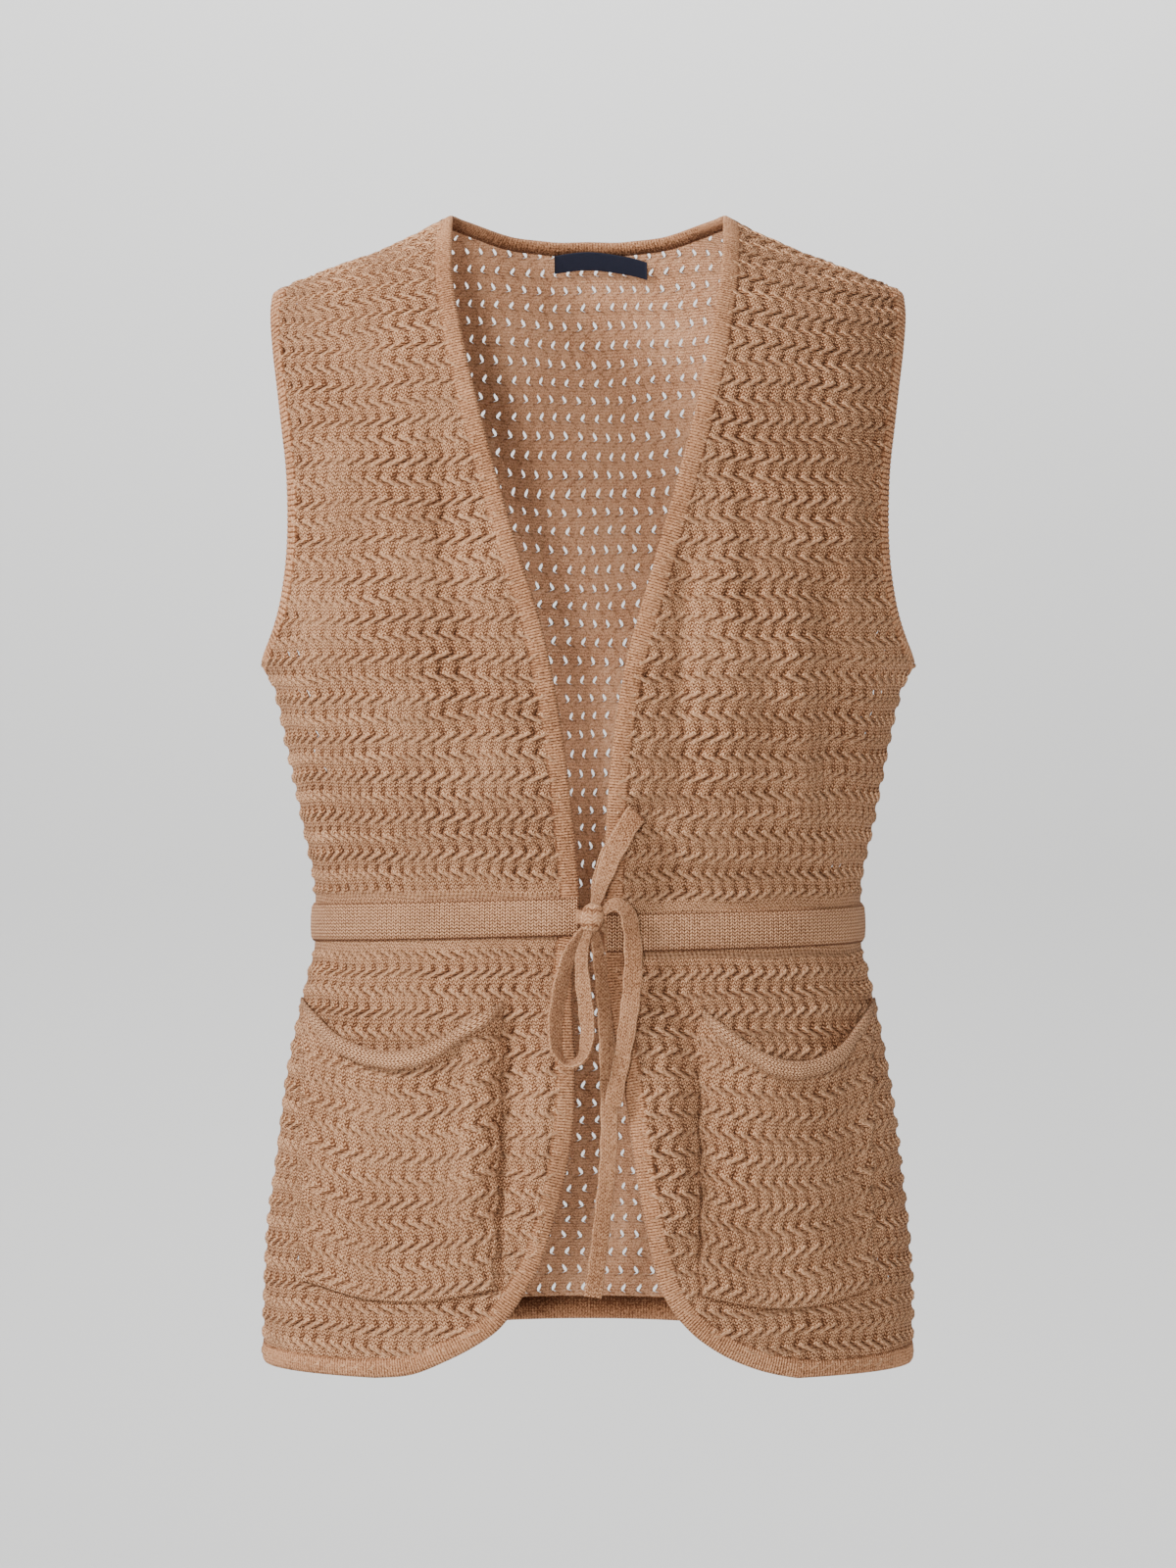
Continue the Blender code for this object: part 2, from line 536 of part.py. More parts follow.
def add_tube(name, rings, kind, closed=False):
    """A solid through cross-sections of equal size, capped at its ends unless it is closed."""
    count, sides = rings.shape[:2]
    faces = []
    for i in range(count if closed else count - 1):
        j = (i + 1) % count
        for k in range(sides):
            m = (k + 1) % sides
            faces.append((i * sides + k, j * sides + k, j * sides + m, i * sides + m))
    if not closed:
        faces += [tuple(range(sides)), tuple(range((count - 1) * sides, count * sides))[::-1]]
    return add_solid(name, rings.reshape(-1, 3), faces, kind)


def triangulate(outline, rows, loops=()):
    """Faces inside the outline: each row is a chain of points whose line the faces keep."""
    points = [Vector(p) for p in outline]
    edges = []
    for chain, is_closed in [(row, False) for row in rows] + [(loop, True) for loop in loops]:
        first = len(points)
        points += [Vector(p) for p in chain]
        edges += [(first + i, first + i + 1) for i in range(len(chain) - 1)]
        if is_closed:
            edges.append((first + len(chain) - 1, first))
    made, _, faces, *_ = delaunay_2d_cdt(points, edges, [list(range(len(outline)))], 1, 1e-7)
    made = np.array([tuple(p) for p in made])
    within = inside(np.array([made[list(face)].mean(axis=0) for face in faces]), outline, 0)
    return made, [tuple(face) for face, kept in zip(faces, within) if kept]


def rim(faces):
    """The loop of points round a set of faces."""
    follows = {}
    for face in faces:
        for a, b in zip(face, face[1:] + face[:1]):
            follows[(a, b)] = True
    after = {a: b for a, b in follows if (b, a) not in follows}
    start = next(iter(after))
    loop = [start]
    while after[loop[-1]] != start:
        loop.append(after[loop[-1]])
    return loop


def add_wall(name, outline, rows, loops, outer, inner, kind="knit"):
    """A wall of cloth with a plain inside, closed round its outline.

    All of these are flat, in lengths: the outline, the rows of points that the outside keeps, and the
    loops that it keeps too. outer and inner turn flat points into the two faces of the wall.
    """
    flat, faces = triangulate(outline, rows, loops)
    loop = rim(faces)
    border = flat[loop]
    dots = np.concatenate(rows[INNER_ROWS // 2 :: INNER_ROWS])
    dots = dots[inside(dots, border)]
    dots = dots[edge_distance(dots, border) > 2 * NEAR_EDGE]
    lining, inner_faces = triangulate(border, [[dot] for dot in dots])
    first = len(flat)
    faces += [tuple(first + i for i in face[::-1]) for face in inner_faces]
    for k, a in enumerate(loop):
        n = (k + 1) % len(loop)
        faces.append((loop[n], a, first + k, first + n))
    return add_solid(name, np.concatenate([outer(flat), inner(lining)]), faces, kind)


def row_chains(columns, levels, crests, borders):
    """Rows of points at the columns, kept clear of the borders. A crest runs on past both sides."""
    rows = []
    for level, crest in zip(levels, crests):
        row = np.stack([columns, np.full(len(columns), level)], axis=1)
        clear = np.all([edge_distance(row, border) > NEAR_EDGE for border in borders], axis=0)
        ends = np.array([[columns[0] - PAST_SIDE, level], [columns[-1] + PAST_SIDE, level]])
        if crest:
            rows.append(np.concatenate([ends[:1], row[clear], ends[1:]]))
        elif clear.any():
            rows.append(row[clear])
    return rows


def add_panel(name, side, outline, covers=()):
    """A panel of cabled knit, ridged outside. Covers are the outlines of what lies on it."""
    sheet = SHEETS[side]
    scale = np.array([QUARTER, 1.0])
    columns = np.arange(-QUARTER, QUARTER + 1e-9, COLUMN_STEP[side])
    bottom = HEM_Z - TURN_Z
    levels = np.arange(bottom, outline[:, 1].max(), ROW_PITCH / 2)
    crests = np.arange(len(levels)) % 2 == 1
    low = levels > outline[:, 1].min() + NEAR_EDGE
    covers = [cover * scale for cover in covers]
    outline = outline * scale
    rows = row_chains(columns, levels[low], crests[low], [outline, *covers])
    add_wall(
        name, outline, rows, covers,
        lambda flat: sheet.at(*(flat / scale).T, ridge(side, flat, covers)),
        lambda flat: sheet.at(*(flat / scale).T, np.full(len(flat), -CLOTH)),
    )


def trimmed(points):
    """Keeps a panel's edge points off the shoulder and side seams by half a gap."""
    points = points.copy()
    points[:, 1] = np.minimum(points[:, 1], ROLL - SEAM_GAP / 2)
    limit = 1 - SEAM_GAP / 2 / QUARTER
    points[:, 0] = np.clip(points[:, 0], -limit, limit)
    return points


def add_front(side):
    name = "right" if side < 0 else "left"
    edge, arm = front_edge(side), arm_edge(side, FRONT)
    outline = np.concatenate([trimmed(edge.panel_points()), trimmed(arm.panel_points())[::-1]])
    if side > 0:
        outline = outline[::-1]
    add_panel(f"front_{name}", FRONT, outline, [pocket_outline(f"pocket_{name}")])
    rings = edge.sections(BAND_PROFILE)
    rings[0, :, 1] = np.minimum(rings[0, :, 1], -SEAM_GAP / 2)
    rings[-1] = rings[-1] + np.array([0, -SEAM_GAP / 2, 0])
    add_tube(f"front_band_{name}", rings, "rib")
    back = arm_edge(side, BACK)
    loop = np.concatenate([arm.sections(BAND_PROFILE), back.sections(BAND_PROFILE)[-2:0:-1]])
    add_tube(f"armhole_band_{name}", loop, "rib", closed=True)


def add_back():
    hem, neck = hem_edge(), neck_edge()
    right, left = arm_edge(-1, BACK), arm_edge(1, BACK)
    outline = np.concatenate([
        trimmed(neck.panel_points())[::-1],
        trimmed(right.panel_points()),
        trimmed(hem.panel_points())[::-1],
        trimmed(left.panel_points())[::-1],
    ])
    add_panel("back_panel", BACK, outline)
    for name, edge in (("neck_band", neck), ("hem_band", hem)):
        rings = edge.sections(BAND_PROFILE)
        for end in (0, -1):
            rings[end, :, 1] = np.maximum(rings[end, :, 1], SEAM_GAP / 2)
        add_tube(name, rings, "rib")


def casing_end(side):
    """u and height of the casing's end at a front edge."""
    edge = EDGE_RIGHT if side < 0 else EDGE_LEFT
    z = CASING_Z + CASING_RISE[side]
    x = np.interp(-z, -np.array(edge["z"]), edge["x"]) + side * CASING_SHORT
    return float(SHEETS[FRONT].u_of(x, z - TURN_Z)[0]), z


def add_casing():
    """The ribbed casing, over the panels and the front bands, round the waist from edge to edge."""
    stops = [casing_end(side)[0] for side in (-1, 1)]
    runs = (
        (FRONT, np.linspace(stops[0], -1, CASING_CUTS[FRONT])),
        (BACK, np.linspace(-1, 1, CASING_CUTS[BACK])[1:-1]),
        (FRONT, np.linspace(1, stops[1], CASING_CUTS[FRONT])),
    )
    rings = []
    half = CASING_HEIGHT / 2
    profile = (
        (-half, 0), (-half, CASING_EDGE), (-half / 2, CASING_THICKNESS),
        (half / 2, CASING_THICKNESS), (half, CASING_EDGE), (half, 0),
    )
    for side, us in runs:
        for u in us:
            z = casing_z(np.float64(u), side)
            near = min(abs(u - stop) for stop in stops) * QUARTER if side == FRONT else 1
            over_band = 1 - float(ease((near - CASING_STEP_AT) / CASING_STEP_LENGTH))
            lift = CASING_OVER_PANEL + (CASING_OVER_BAND - CASING_OVER_PANEL) * over_band
            dz, out = np.array(profile).T
            rings.append(SHEETS[side].at(np.full(len(dz), u), z + dz - TURN_Z, lift + out))
    add_tube("waist_casing", np.array(rings), "rib")


def add_pocket(name):
    """A patch pocket: sewn down at its sides and bottom, with a gaping, curled mouth."""
    sheet = SHEETS[FRONT]
    row = POCKETS[name]
    wide = row["outer"][0] - row["inner"][0]
    tall = row["mouth"][0] - row["bottom"]
    size = np.array([wide, tall])
    steps = np.linspace(0, 1, 9)
    heights = np.linspace(0, 1, 7)
    square = [(a, 0.0) for a in steps] + [(1.0, b) for b in heights[1:-1]]
    square += [(a, 1.0) for a in steps[::-1]] + [(0.0, b) for b in heights[-2:0:-1]]
    outline = np.array(square) * size
    levels = np.arange(ROW_PITCH / 2, tall - 2.6 * POCKET_ROLL, ROW_PITCH / 2)
    levels = np.concatenate([levels, tall - POCKET_ROLL * np.array(ROLL_ROWS)])
    columns = np.concatenate([[-PAST_SIDE], steps[1:-1] * wide, [wide + PAST_SIDE]])
    rows = [np.stack([columns, np.full(len(columns), level)], axis=1) for level in levels]

    def place(flat, out):
        across, up = np.clip(flat / size, 0, 1).T
        x, z = pocket_point(name, across, up)
        v = sheet.v_of(x, z)
        gape = POCKET_GAPE * np.sin(math.pi * across) * up**2.5
        return sheet.at(sheet.u_of(x, v), v, POCKET_LIFT + gape + out)

    def outside(flat):
        waves = RIDGE * (0.5 - 0.5 * np.cos(2 * math.pi * flat[:, 1] / ROW_PITCH))
        from_top = (tall - flat[:, 1]) / POCKET_ROLL
        curl = POCKET_ROLL * np.sqrt(np.clip(1 - ((from_top - 1.0) / 1.15) ** 2, 0, 1))
        waves = np.where(from_top < 2.2, curl, waves)
        return place(flat, POCKET_WALL + waves)

    add_wall(name, outline, rows, [], outside, lambda flat: place(flat, np.zeros(len(flat))))


def knot_seat(toward):
    """Where a stretch of the tie that goes toward a point leaves the knot."""
    centre, half = np.array(KNOT_CENTRE), np.array(KNOT_HALF)
    way = unit(np.asarray(toward) - centre)
    return centre + way * (1 / np.linalg.norm(way / half) + SEAM_GAP / 2)


def tie_path(name):
    """The tie's middle line: x, y, z, turn and width of each point of a route, with its seats."""
    route = np.asarray(TIE_ROUTES[name], float)
    sheet = SHEETS[FRONT]
    v = sheet.v_of(route[:, 0], route[:, 1])
    y = sheet.at(sheet.u_of(route[:, 0], v), v)[:, 1] - route[:, 2]
    path = np.stack([route[:, 0], y, route[:, 1], route[:, 3], route[:, 4]], axis=1)
    seats = [np.array([*knot_seat(row[:3]), row[3], TIE_WIDTH_AT_KNOT]) for row in (path[0], path[-1])]
    return np.array([seats[0], *path] + ([seats[1]] if name in TIE_RETURNS else []))


def ribbon_rings(path, steps):
    """Cross-sections of the flat tie along its middle line."""
    path = curve_through(path, steps)
    centre, turn, width = path[:, :3], np.radians(path[:, 3:4]), path[:, 4:5]
    tangent = unit(np.gradient(centre, axis=0))
    side = unit(np.cross(tangent, np.array([0.0, 1.0, 0.0])))
    for i in range(1, len(side)):
        if (side[i] * side[i - 1]).sum() < 0:
            side[i] = -side[i]
    flat = unit(np.cross(side, tangent))
    across = side * np.cos(turn) + flat * np.sin(turn)
    out = np.cross(tangent, across)
    half = TIE_THICKNESS / 2
    profile = ((-0.5, 0), (-0.42, half), (0.42, half), (0.5, 0), (0.42, -half), (-0.42, -half))
    return np.stack([centre + across * width * a + out * b for a, b in profile], axis=1)


def add_tie():
    for name in TIE_ROUTES:
        path = tie_path(name)
        add_tube(name, ribbon_rings(path, round(1.5 * len(path))), "tie")
    mesh = bpy.data.meshes.new("tie_knot")
    work = bmesh.new()
    bmesh.ops.create_uvsphere(work, u_segments=12, v_segments=8, radius=1)
    for vert in work.verts:
        x, y, z = vert.co
        waist = 1 - 0.12 * math.exp(-((z / 0.35) ** 2))
        vert.co = Vector((x * waist * KNOT_HALF[0], y * waist * KNOT_HALF[1], z * KNOT_HALF[2]))
    work.to_mesh(mesh)
    work.free()
    mesh.shade_smooth()
    mesh.materials.append(material("tie.tie_knot"))
    knot = bpy.data.objects.new("tie_knot", mesh)
    knot.location = KNOT_CENTRE
    bpy.context.scene.collection.objects.link(knot)
    for side, name in ((-1, "tie_root_right"), (1, "tie_root_left")):
        u, z = casing_end(side)
        start = SHEETS[FRONT].at(u, z - TURN_Z, CASING_OVER_BAND + ROOT_OVER_BAND)
        start = start - [side * SEAM_GAP, 0, 0]
        end = np.array(KNOT_CENTRE) + [side * ROOT_FROM_CENTRE, KNOT_HALF[1] + ROOT_BEHIND_KNOT, 0]
        corners = ((1, -1), (-1, -1), (-1, 1), (1, 1))
        rings = []
        for point, height in zip((start, end), ROOT_HEIGHTS):
            half = np.array([0, ROOT_THICKNESS, height]) / 2
            rings.append([point + half * [0, y, z] for y, z in corners])
        add_tube(name, np.array(rings), "tie")


def add_label():
    """The woven label, blank, inside the back neck."""
    sheet = SHEETS[BACK]
    xs = LABEL_X + np.linspace(-LABEL_WIDTH / 2, LABEL_WIDTH / 2, 6)
    vs = np.array(LABEL_EDGES)
    rings = []
    for x in xs:
        u = sheet.u_of(np.array([x, x]), vs)
        near, far = -CLOTH - LABEL_LIFT, -CLOTH - LABEL_LIFT - LABEL_THICKNESS
        a = sheet.at(u, vs, np.full(2, near))
        b = sheet.at(u, vs, np.full(2, far))
        rings.append([a[0], a[1], b[1], b[0]])
    add_tube("neck_label", np.array(rings), "label")


def main():
    for obj in list(bpy.data.objects):
        bpy.data.objects.remove(obj, do_unlink=True)
    for side in (-1, 1):
        add_front(side)
    add_back()
    add_casing()
    for name in POCKETS:
        add_pocket(name)
    add_tie()
    add_label()


main()
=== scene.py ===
"""Looks of the tie-front knit vest. Metres, +Z up, the front faces -Y, the wearer's left is +X.

The cloth follows two sheets, front and back, as the solids do. Each has a column number u, from -1 at the
wearer's right side seam to +1 at the left one, and a height v, which is 0 where the cloth starts to turn
over towards the shoulder, negative below that and ROLL at the shoulder seam. The knit is drawn in cells of
one cable stroke each, with its eyelet. In it s counts the columns of cables and t the rows.
"""

import math

import bpy
import numpy as np
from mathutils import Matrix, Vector


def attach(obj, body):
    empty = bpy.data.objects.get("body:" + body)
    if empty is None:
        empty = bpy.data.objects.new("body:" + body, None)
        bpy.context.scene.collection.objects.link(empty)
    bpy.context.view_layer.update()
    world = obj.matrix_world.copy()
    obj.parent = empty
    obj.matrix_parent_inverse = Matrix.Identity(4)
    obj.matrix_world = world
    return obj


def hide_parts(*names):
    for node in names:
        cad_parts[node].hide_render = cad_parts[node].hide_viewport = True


MM = 0.001
FRONT, BACK = -1, 1  # the two sheets
SIDES = {-1: "right", 1: "left"}  # the wearer's


def table(**columns):
    """A table with its columns given in millimetres."""
    return {name: np.array(values) * MM for name, values in columns.items()}


# ---- sizes of the vest, as in the solids ----
CLOTH = 2.0 * MM  # thickness of the cabled knit between its ridges
ROW_PITCH = 11.5 * MM  # one row of cables
SEAM_GAP = 0.4 * MM
BAND_WIDTH = 11.5 * MM  # ribbed band of the front edges
NECK_BAND_WIDTH = 8.0 * MM
BACK_HEM_WIDTH = 13.5 * MM
ARM_BAND_WIDTH = 9.3 * MM
HEM_Z = -0.667
TURN_Z = -0.140  # height at which v is 0
ROLL = 0.180  # v at the shoulder seam
BACK_HEM_LIFT = 0.011  # how much higher the back hem lies at its centre
LIFT_FROM_Z = -0.520  # the lift starts here and is whole LIFT_HEIGHT lower
LIFT_HEIGHT = 0.130
SQUARENESS = 2.25  # exponent of a section: 2 is an ellipse
CASING_HEIGHT = 23.0 * MM
CASING_Z = -0.404  # middle of the casing at the side seams
CASING_RISE = {-1: 0.006, 1: -0.004}  # at the right and left front edge
CASING_STRIP = 6.0 * MM  # plain jersey above and below the casing
CASING_OVER_PANEL = 0.65 * MM  # how far its inside stands off the panels, and off the front bands
CASING_OVER_BAND = 1.65 * MM
CASING_STEP_AT = 15.0 * MM  # it steps up onto a front band over CASING_STEP_LENGTH, this far from its end
CASING_STEP_LENGTH = 6.0 * MM
CASING_SHORT = 1.0 * MM  # how far it ends short of the front edge
ROOT_THICKNESS = 2.0 * MM  # the tie where it comes out of the casing
ROOT_HEIGHTS = (9.0 * MM, 7.0 * MM)  # at the casing and at the knot
ROOT_OVER_BAND = 1.0 * MM  # middle of a root off the casing's inside
ROOT_BEHIND_KNOT = 0.75 * MM  # and behind the knot's back
ROOT_FROM_CENTRE = 2.6 * MM
ROOT_IN_CASING = 2.0 * MM  # how far it runs into the casing
POCKET_WALL = 1.6 * MM
POCKET_LIFT = 0.9 * MM  # its inside stands this far off the front sheet where it is sewn down
POCKET_GAPE = 11.0 * MM  # how far a pocket's mouth stands off
POCKET_ROLL = 4.2 * MM  # thickness of its curled top
POCKET_SAG = 9.0 * MM  # how far its bottom hangs down in the middle
TIE_THICKNESS = 2.2 * MM
LABEL_WIDTH, LABEL_THICKNESS = 58.0 * MM, 0.8 * MM
LABEL_X = 8.0 * MM  # its middle
LABEL_EDGES = (0.0965, 0.0875)  # v of its upper and lower side
LABEL_LIFT = 1.3 * MM  # how far it stands off the inside of the back
LABEL_SAG = 0.2 * MM  # and how much more in its middle

# Horizontal sections of the vest: height, half width, depth in front of the side seams and behind them.
SECTIONS = table(
    z=(-667, -640, -593, -545, -498, -463, -439, -418, -385, -345, -297, -262, -247, -140),
    half_width=(194.5, 194.5, 192.5, 187, 181, 174.5, 169, 164.5, 164, 171, 180.5, 188.5, 196, 196),
    front=(108, 108, 107, 105, 101, 97, 93, 90, 90, 99, 109, 113, 113, 106),
    back=(104, 104, 102, 98, 93, 86, 80, 74, 72, 76, 83, 87, 88, 88),
)
# The shoulder line: distance from the centre, and height. Inside the neck point it only guides the neck.
SHOULDER = table(
    x=(-24.3, 0, 24.3, 48.6, 65.5, 81, 100, 125, 153, 182, 190, 198),
    z=(54.5, 58.6, 54.5, 44, 32.5, 21, 10, -0.7, -11.3, -22, -26.5, -34),
)
# Free edge of the right front, from the shoulder down the neck and the opening, round to the hem.
EDGE_RIGHT = table(
    z=(21, -22, -60, -115, -178, -237, -292, -350, -396, -435, -488, -520, -547, -573, -600, -619, -637,
       -647, -656, -664, -667, -667),
    x=(-81, -79.4, -73, -60, -42.5, -24.9, -14.7, -8, -4.8, -9, -7.4, -8.5, -12.5, -19.3, -27.8, -38.6,
       -52, -66, -83, -102, -124, -194),
)
# The same of the left front, which hangs more open below the waist.
EDGE_LEFT = table(
    z=(21, -14, -57, -100, -155, -205, -252, -298, -349, -395, -435, -469, -507, -545, -571, -597, -620.5,
       -639, -652, -661, -667, -667),
    x=(81, 78.6, 72, 63, 48.7, 34.5, 21.5, 14.2, 10.2, 9.5, 10.8, 15.3, 22.1, 27.2, 31.8, 37.4, 45.5, 60,
       78, 98, 122, 194),
)
EDGES = {-1: EDGE_RIGHT, 1: EDGE_LEFT}
# Outer edge of an armhole seen from the front, from the shoulder to the underarm.
ARMHOLE = table(
    z=(-26.5, -37, -60, -85, -108, -132, -156, -179, -203, -220, -234, -243, -247),
    x=(190, 190.5, 188.5, 185, 182, 179, 177.8, 178, 180.5, 184, 189, 193.5, 196),
)
# Back neck edge: distance from the centre, and v.
NECK = table(
    x=(0, 24.3, 48.6, 65.5, 77, 81),
    v=(100.6, 103.5, 115, 135, 160, 180),
)
# Soft folds of each sheet, in millimetres: x and z of the top and of the foot, half width, and how far the
# cloth stands out (+) or in (-).
FOLDS = {
    FRONT: ((140, -175, 146, -372, 13, -5.5), (120, -200, 124, -372, 14, 3.5),
            (-88, -90, -68, -330, 16, -4.5), (-120, -150, -108, -370, 18, 3), (60, -170, 55, -350, 13, -4),
            (85, -140, 80, -360, 16, 3), (-22, -428, -32, -610, 11, 7.5), (-46, -430, -55, -590, 11, -5),
            (30, -430, 50, -610, 12, 7), (55, -430, 72, -580, 11, -5), (-150, -430, -160, -640, 14, -3),
            (150, -430, 160, -640, 14, -3)),
    BACK: ((-100, -150, -70, -375, 18, -5), (105, -170, 75, -375, 18, -5), (-10, -230, 6, -380, 20, 3.5),
           (-110, -425, -120, -650, 16, 5), (-45, -425, -52, -640, 15, -4.5), (15, -425, 18, -650, 16, 5),
           (70, -425, 78, -640, 15, -4.5), (125, -425, 135, -650, 16, 4.5)),
}
# Finer creases of the same kind, which only the drawn cloth has.
CREASES = {
    FRONT: ((-90, -95, -80, -230, 6, -2.8), (-75, -190, -62, -340, 7, -2.2),
            (-146, -100, -144, -240, 8, 2.2), (-166, -190, -160, -300, 7, 1.8),
            (91, -110, 94, -240, 7, -2.6), (58, -170, 50, -300, 6, -2.6), (68, -180, 62, -310, 6, 2),
            (155, -130, 150, -250, 7, 2.2), (120, -260, 112, -380, 9, -1.8), (-30, -470, -42, -600, 6, 2.4),
            (43, -440, 60, -600, 6, 2.6), (35, -460, 48, -580, 4, -1.6), (-58, -440, -72, -620, 10, 5),
            (-30, -440, -41, -610, 9, -5), (28, -325, 56, -394, 10, -4.5)),
    BACK: ((-140, -180, -125, -370, 9, 2), (-60, -250, -45, -385, 7, -1.6), (45, -240, 35, -385, 8, 1.8),
           (140, -200, 120, -380, 9, -1.8), (-80, -430, -88, -600, 8, 2), (50, -430, 50, -620, 7, -1.8),
           (100, -430, 108, -610, 7, 1.8)),
}
# Where the cloth is pulled smooth and the cables fade by SMOOTHING, in millimetres: x and z of the middle,
# half width and height.
SMOOTHING = 0.36
SMOOTHED = {
    FRONT: ((-145, -160, 11, 55), (-166, -235, 10, 40), (-110, -300, 10, 30), (68, -215, 9, 45),
            (155, -190, 9, 45), (50, -330, 10, 30)),
    BACK: ((-120, -250, 12, 50), (130, -300, 12, 50)),
}
# Pockets: side is -1 for the wearer's right. x of the edge near the opening and of the one near the side
# seam, heights of the mouth's two corners, of its lowest point, and of the pocket's bottom.
POCKETS = {
    "pocket_right": {"side": -1, "inner": (0.0500, 0.0545), "outer": (0.1690, 0.1680),
                     "mouth": (-0.447, -0.449), "sag": -0.479, "bottom": -0.613},
    "pocket_left": {"side": 1, "inner": (0.0665, 0.0650), "outer": (0.1690, 0.1680),
                    "mouth": (-0.451, -0.449), "sag": -0.485, "bottom": -0.617},
}
# Routes of the tie, in millimetres: x, z, how far it stands off the front sheet, turn of its flat face in
# degrees, width. Each starts at the knot. The ear and the loop go back to it.
TIE_ROUTES = {
    "tie_ear": (
        (9, -376, 12.5, 15, 9.5), (13.5, -364, 10.5, 15, 11.5), (19.5, -352, 9, 10, 12.5),
        (25, -342.5, 8, 5, 12.5), (27.8, -338.5, 6.2, 0, 12.5), (26.2, -341, 4.4, -5, 12.5),
        (20, -350, 4.2, -10, 12), (12.5, -362, 4, -10, 11), (6.5, -376, 4, -10, 8),
    ),
    "tie_loop": (
        (-10, -417, 8.5, 25, 8), (-14, -430, 9.5, 30, 10), (-17.8, -447, 10.5, 35, 10.5),
        (-19.5, -464, 11.5, 40, 10), (-18, -476, 13, 55, 9), (-12, -483, 15, 75, 8.5),
        (-4.5, -480, 17.5, 60, 9), (-0.5, -468, 18.5, 40, 10), (-1, -452, 18.5, 30, 10),
        (-3, -435, 18, 25, 9.5), (-3.5, -420, 17, 20, 7.5),
    ),
    "tie_tail_short": (
        (16.5, -390.5, 14, 30, 8.5), (21.8, -394.5, 14, 30, 10), (25, -406, 12.5, 20, 10.8),
        (26.2, -420, 11.5, 10, 11), (25.5, -438, 11, 0, 11), (23.2, -458, 10.5, -5, 10.8),
        (20, -478, 10, -10, 10), (16.5, -495, 9.5, -5, 10), (14.2, -507, 9, 0, 10),
    ),
    "tie_tail_long": (
        (6.2, -420.3, 6.5, 20, 8), (7.6, -434.5, 6, 30, 8.5), (9.8, -457.2, 5, 20, 9),
        (11.2, -485.6, 4, 10, 9.5), (12.2, -513.9, 4, 0, 10), (11.7, -536.7, 4, 0, 10),
        (8.5, -570.7, 3.5, 5, 10), (4.5, -604.8, 3, 5, 10.5), (2.8, -617.3, 3, 0, 10.5),
    ),
}
TIE_RETURNS = ("tie_ear", "tie_loop")
TIE_WIDTH_AT_KNOT = 5.0 * MM
KNOT_CENTRE = np.array((0.0023, -0.1015, -0.3985))
KNOT_HALF = np.array((0.0072, 0.0055, 0.0085))

# ---- the drawn knit ----
CLOTH_COLUMNS = 54  # columns of cables across each sheet
POCKET_COLUMNS, POCKET_ROWS = 14, 13
STROKE_HEIGHT = 1.95 * MM
GROOVE_DEPTH = 0.65 * MM
CROWN_HEIGHT = 0.30 * MM
PLAIN_HEIGHT = 0.25 * CROWN_HEIGHT
SEAM_DEPTH = 0.7 * MM  # how far the cloth is drawn in beside a pocket's seam
LINING_DEPTH = 1.3 * MM  # the purl side behind the sheet
ROPE_AT, ROPE_FALLS = 0.67, (0.24, 0.17)  # a stroke's crest across its column, and its fall to each side
GROOVE_FALL = 0.11
# Painted shade of the cloth, 0 in the deepest groove: painted highlight on the crowns and strokes, painted
# shade in the grooves and painted shadow beside a pocket's seam. The others are added to, or taken from, the
# ground.
GROUND_SHADE, CROWN_SHADE, STROKE_SHADE, GROOVE_SHADE, SEAM_SHADE = 0.38, 0.04, 0.54, 0.48, 0.28
PLAIN_SHADE = 0.45
LINING_SHADE, LINING_CONTRAST = 0.30, 0.3
# Painted shade of the ribbed bands, and how much darker their rib valleys are painted.
BAND_SHADE, BAND_CONTRAST = 0.42, 0.62
EYELET_DEPTH = 1.2 * MM
EYELET_HALF = 0.115  # half the width of an eyelet, in columns
EYELET_ASIDE, EYELET_UP = 0.36, 0.8  # its middle in the cell
OPEN_ASIDE, OPEN_ABOVE = 0.36, 4  # the fronts' eyelets are open this far from the middle and up
RIM_FALL = 0.65  # how far the cloth next to an eyelet's rim is drawn in and painted dark with it, as painted shade in the pit
WALES, COURSES = 3, 6  # stitches across a column and up a row
FRONT_RIB_PITCH, ARM_RIB_PITCH, CASING_RIB_PITCH = 1.75 * MM, 3.1 * MM, 3.0 * MM
FRONT_RIB_STEP, ARM_RIB_STEP = 0.43 * MM, 0.5 * MM  # between cross-sections
RIB_HEIGHT, CASING_RIB_HEIGHT = 0.8 * MM, 0.15 * MM
BAND_STITCH = 1.9 * MM
CASING_CUTS = {FRONT: 420, BACK: 820}  # cross-sections of each half front and of the back
CASING_SWELL = 0.5 * MM  # how unevenly it bulges
CASING_SEAM_SHADES = (0.36, 0.22)  # painted shadow along its lower and upper border: how much darker each is painted
POCKET_MARGIN = 3.0 * MM  # how far out of a pocket's outline the cloth is plain
POCKET_WAVER, POCKET_RIM, POCKET_TUCK = 1.1 * MM, 0.5 * MM, 0.3 * MM  # of its sewn border
ROLL_WALES, ROLL_COURSES = 11, 58  # stitches round a pocket's curl and along it
TIE_WALES, TIE_STITCH, TIE_STEP = 4, 2.0 * MM, 0.8 * MM
KNOT_SIDES, KNOT_LEVELS, KNOT_WINDS, KNOT_SLANT = 24, 26, 3.1, 0.22
UNDER_BAND = 0.62  # share of a band's width that the panel runs under it
TRIM = 5  # points left out at each end of such a cut line, where it curls
LEAST_SIZE = 1e-9  # twice the area of the smallest face kept
BOTTOM = HEM_Z - TURN_Z
TOP_HEIGHT = 0.216  # the longest way up the cloth from v = 0 to a shoulder seam
PAST_SEAM, PAST_ROLL = 1.2, ROLL + 0.05  # u and v beyond the sheets
TOTAL_ROWS = math.ceil((TOP_HEIGHT - BOTTOM) / ROW_PITCH) + 1
ROW_DROP, DROP_FROM = 0.25, 0.081  # how the rows slope down beside the neck, and from where
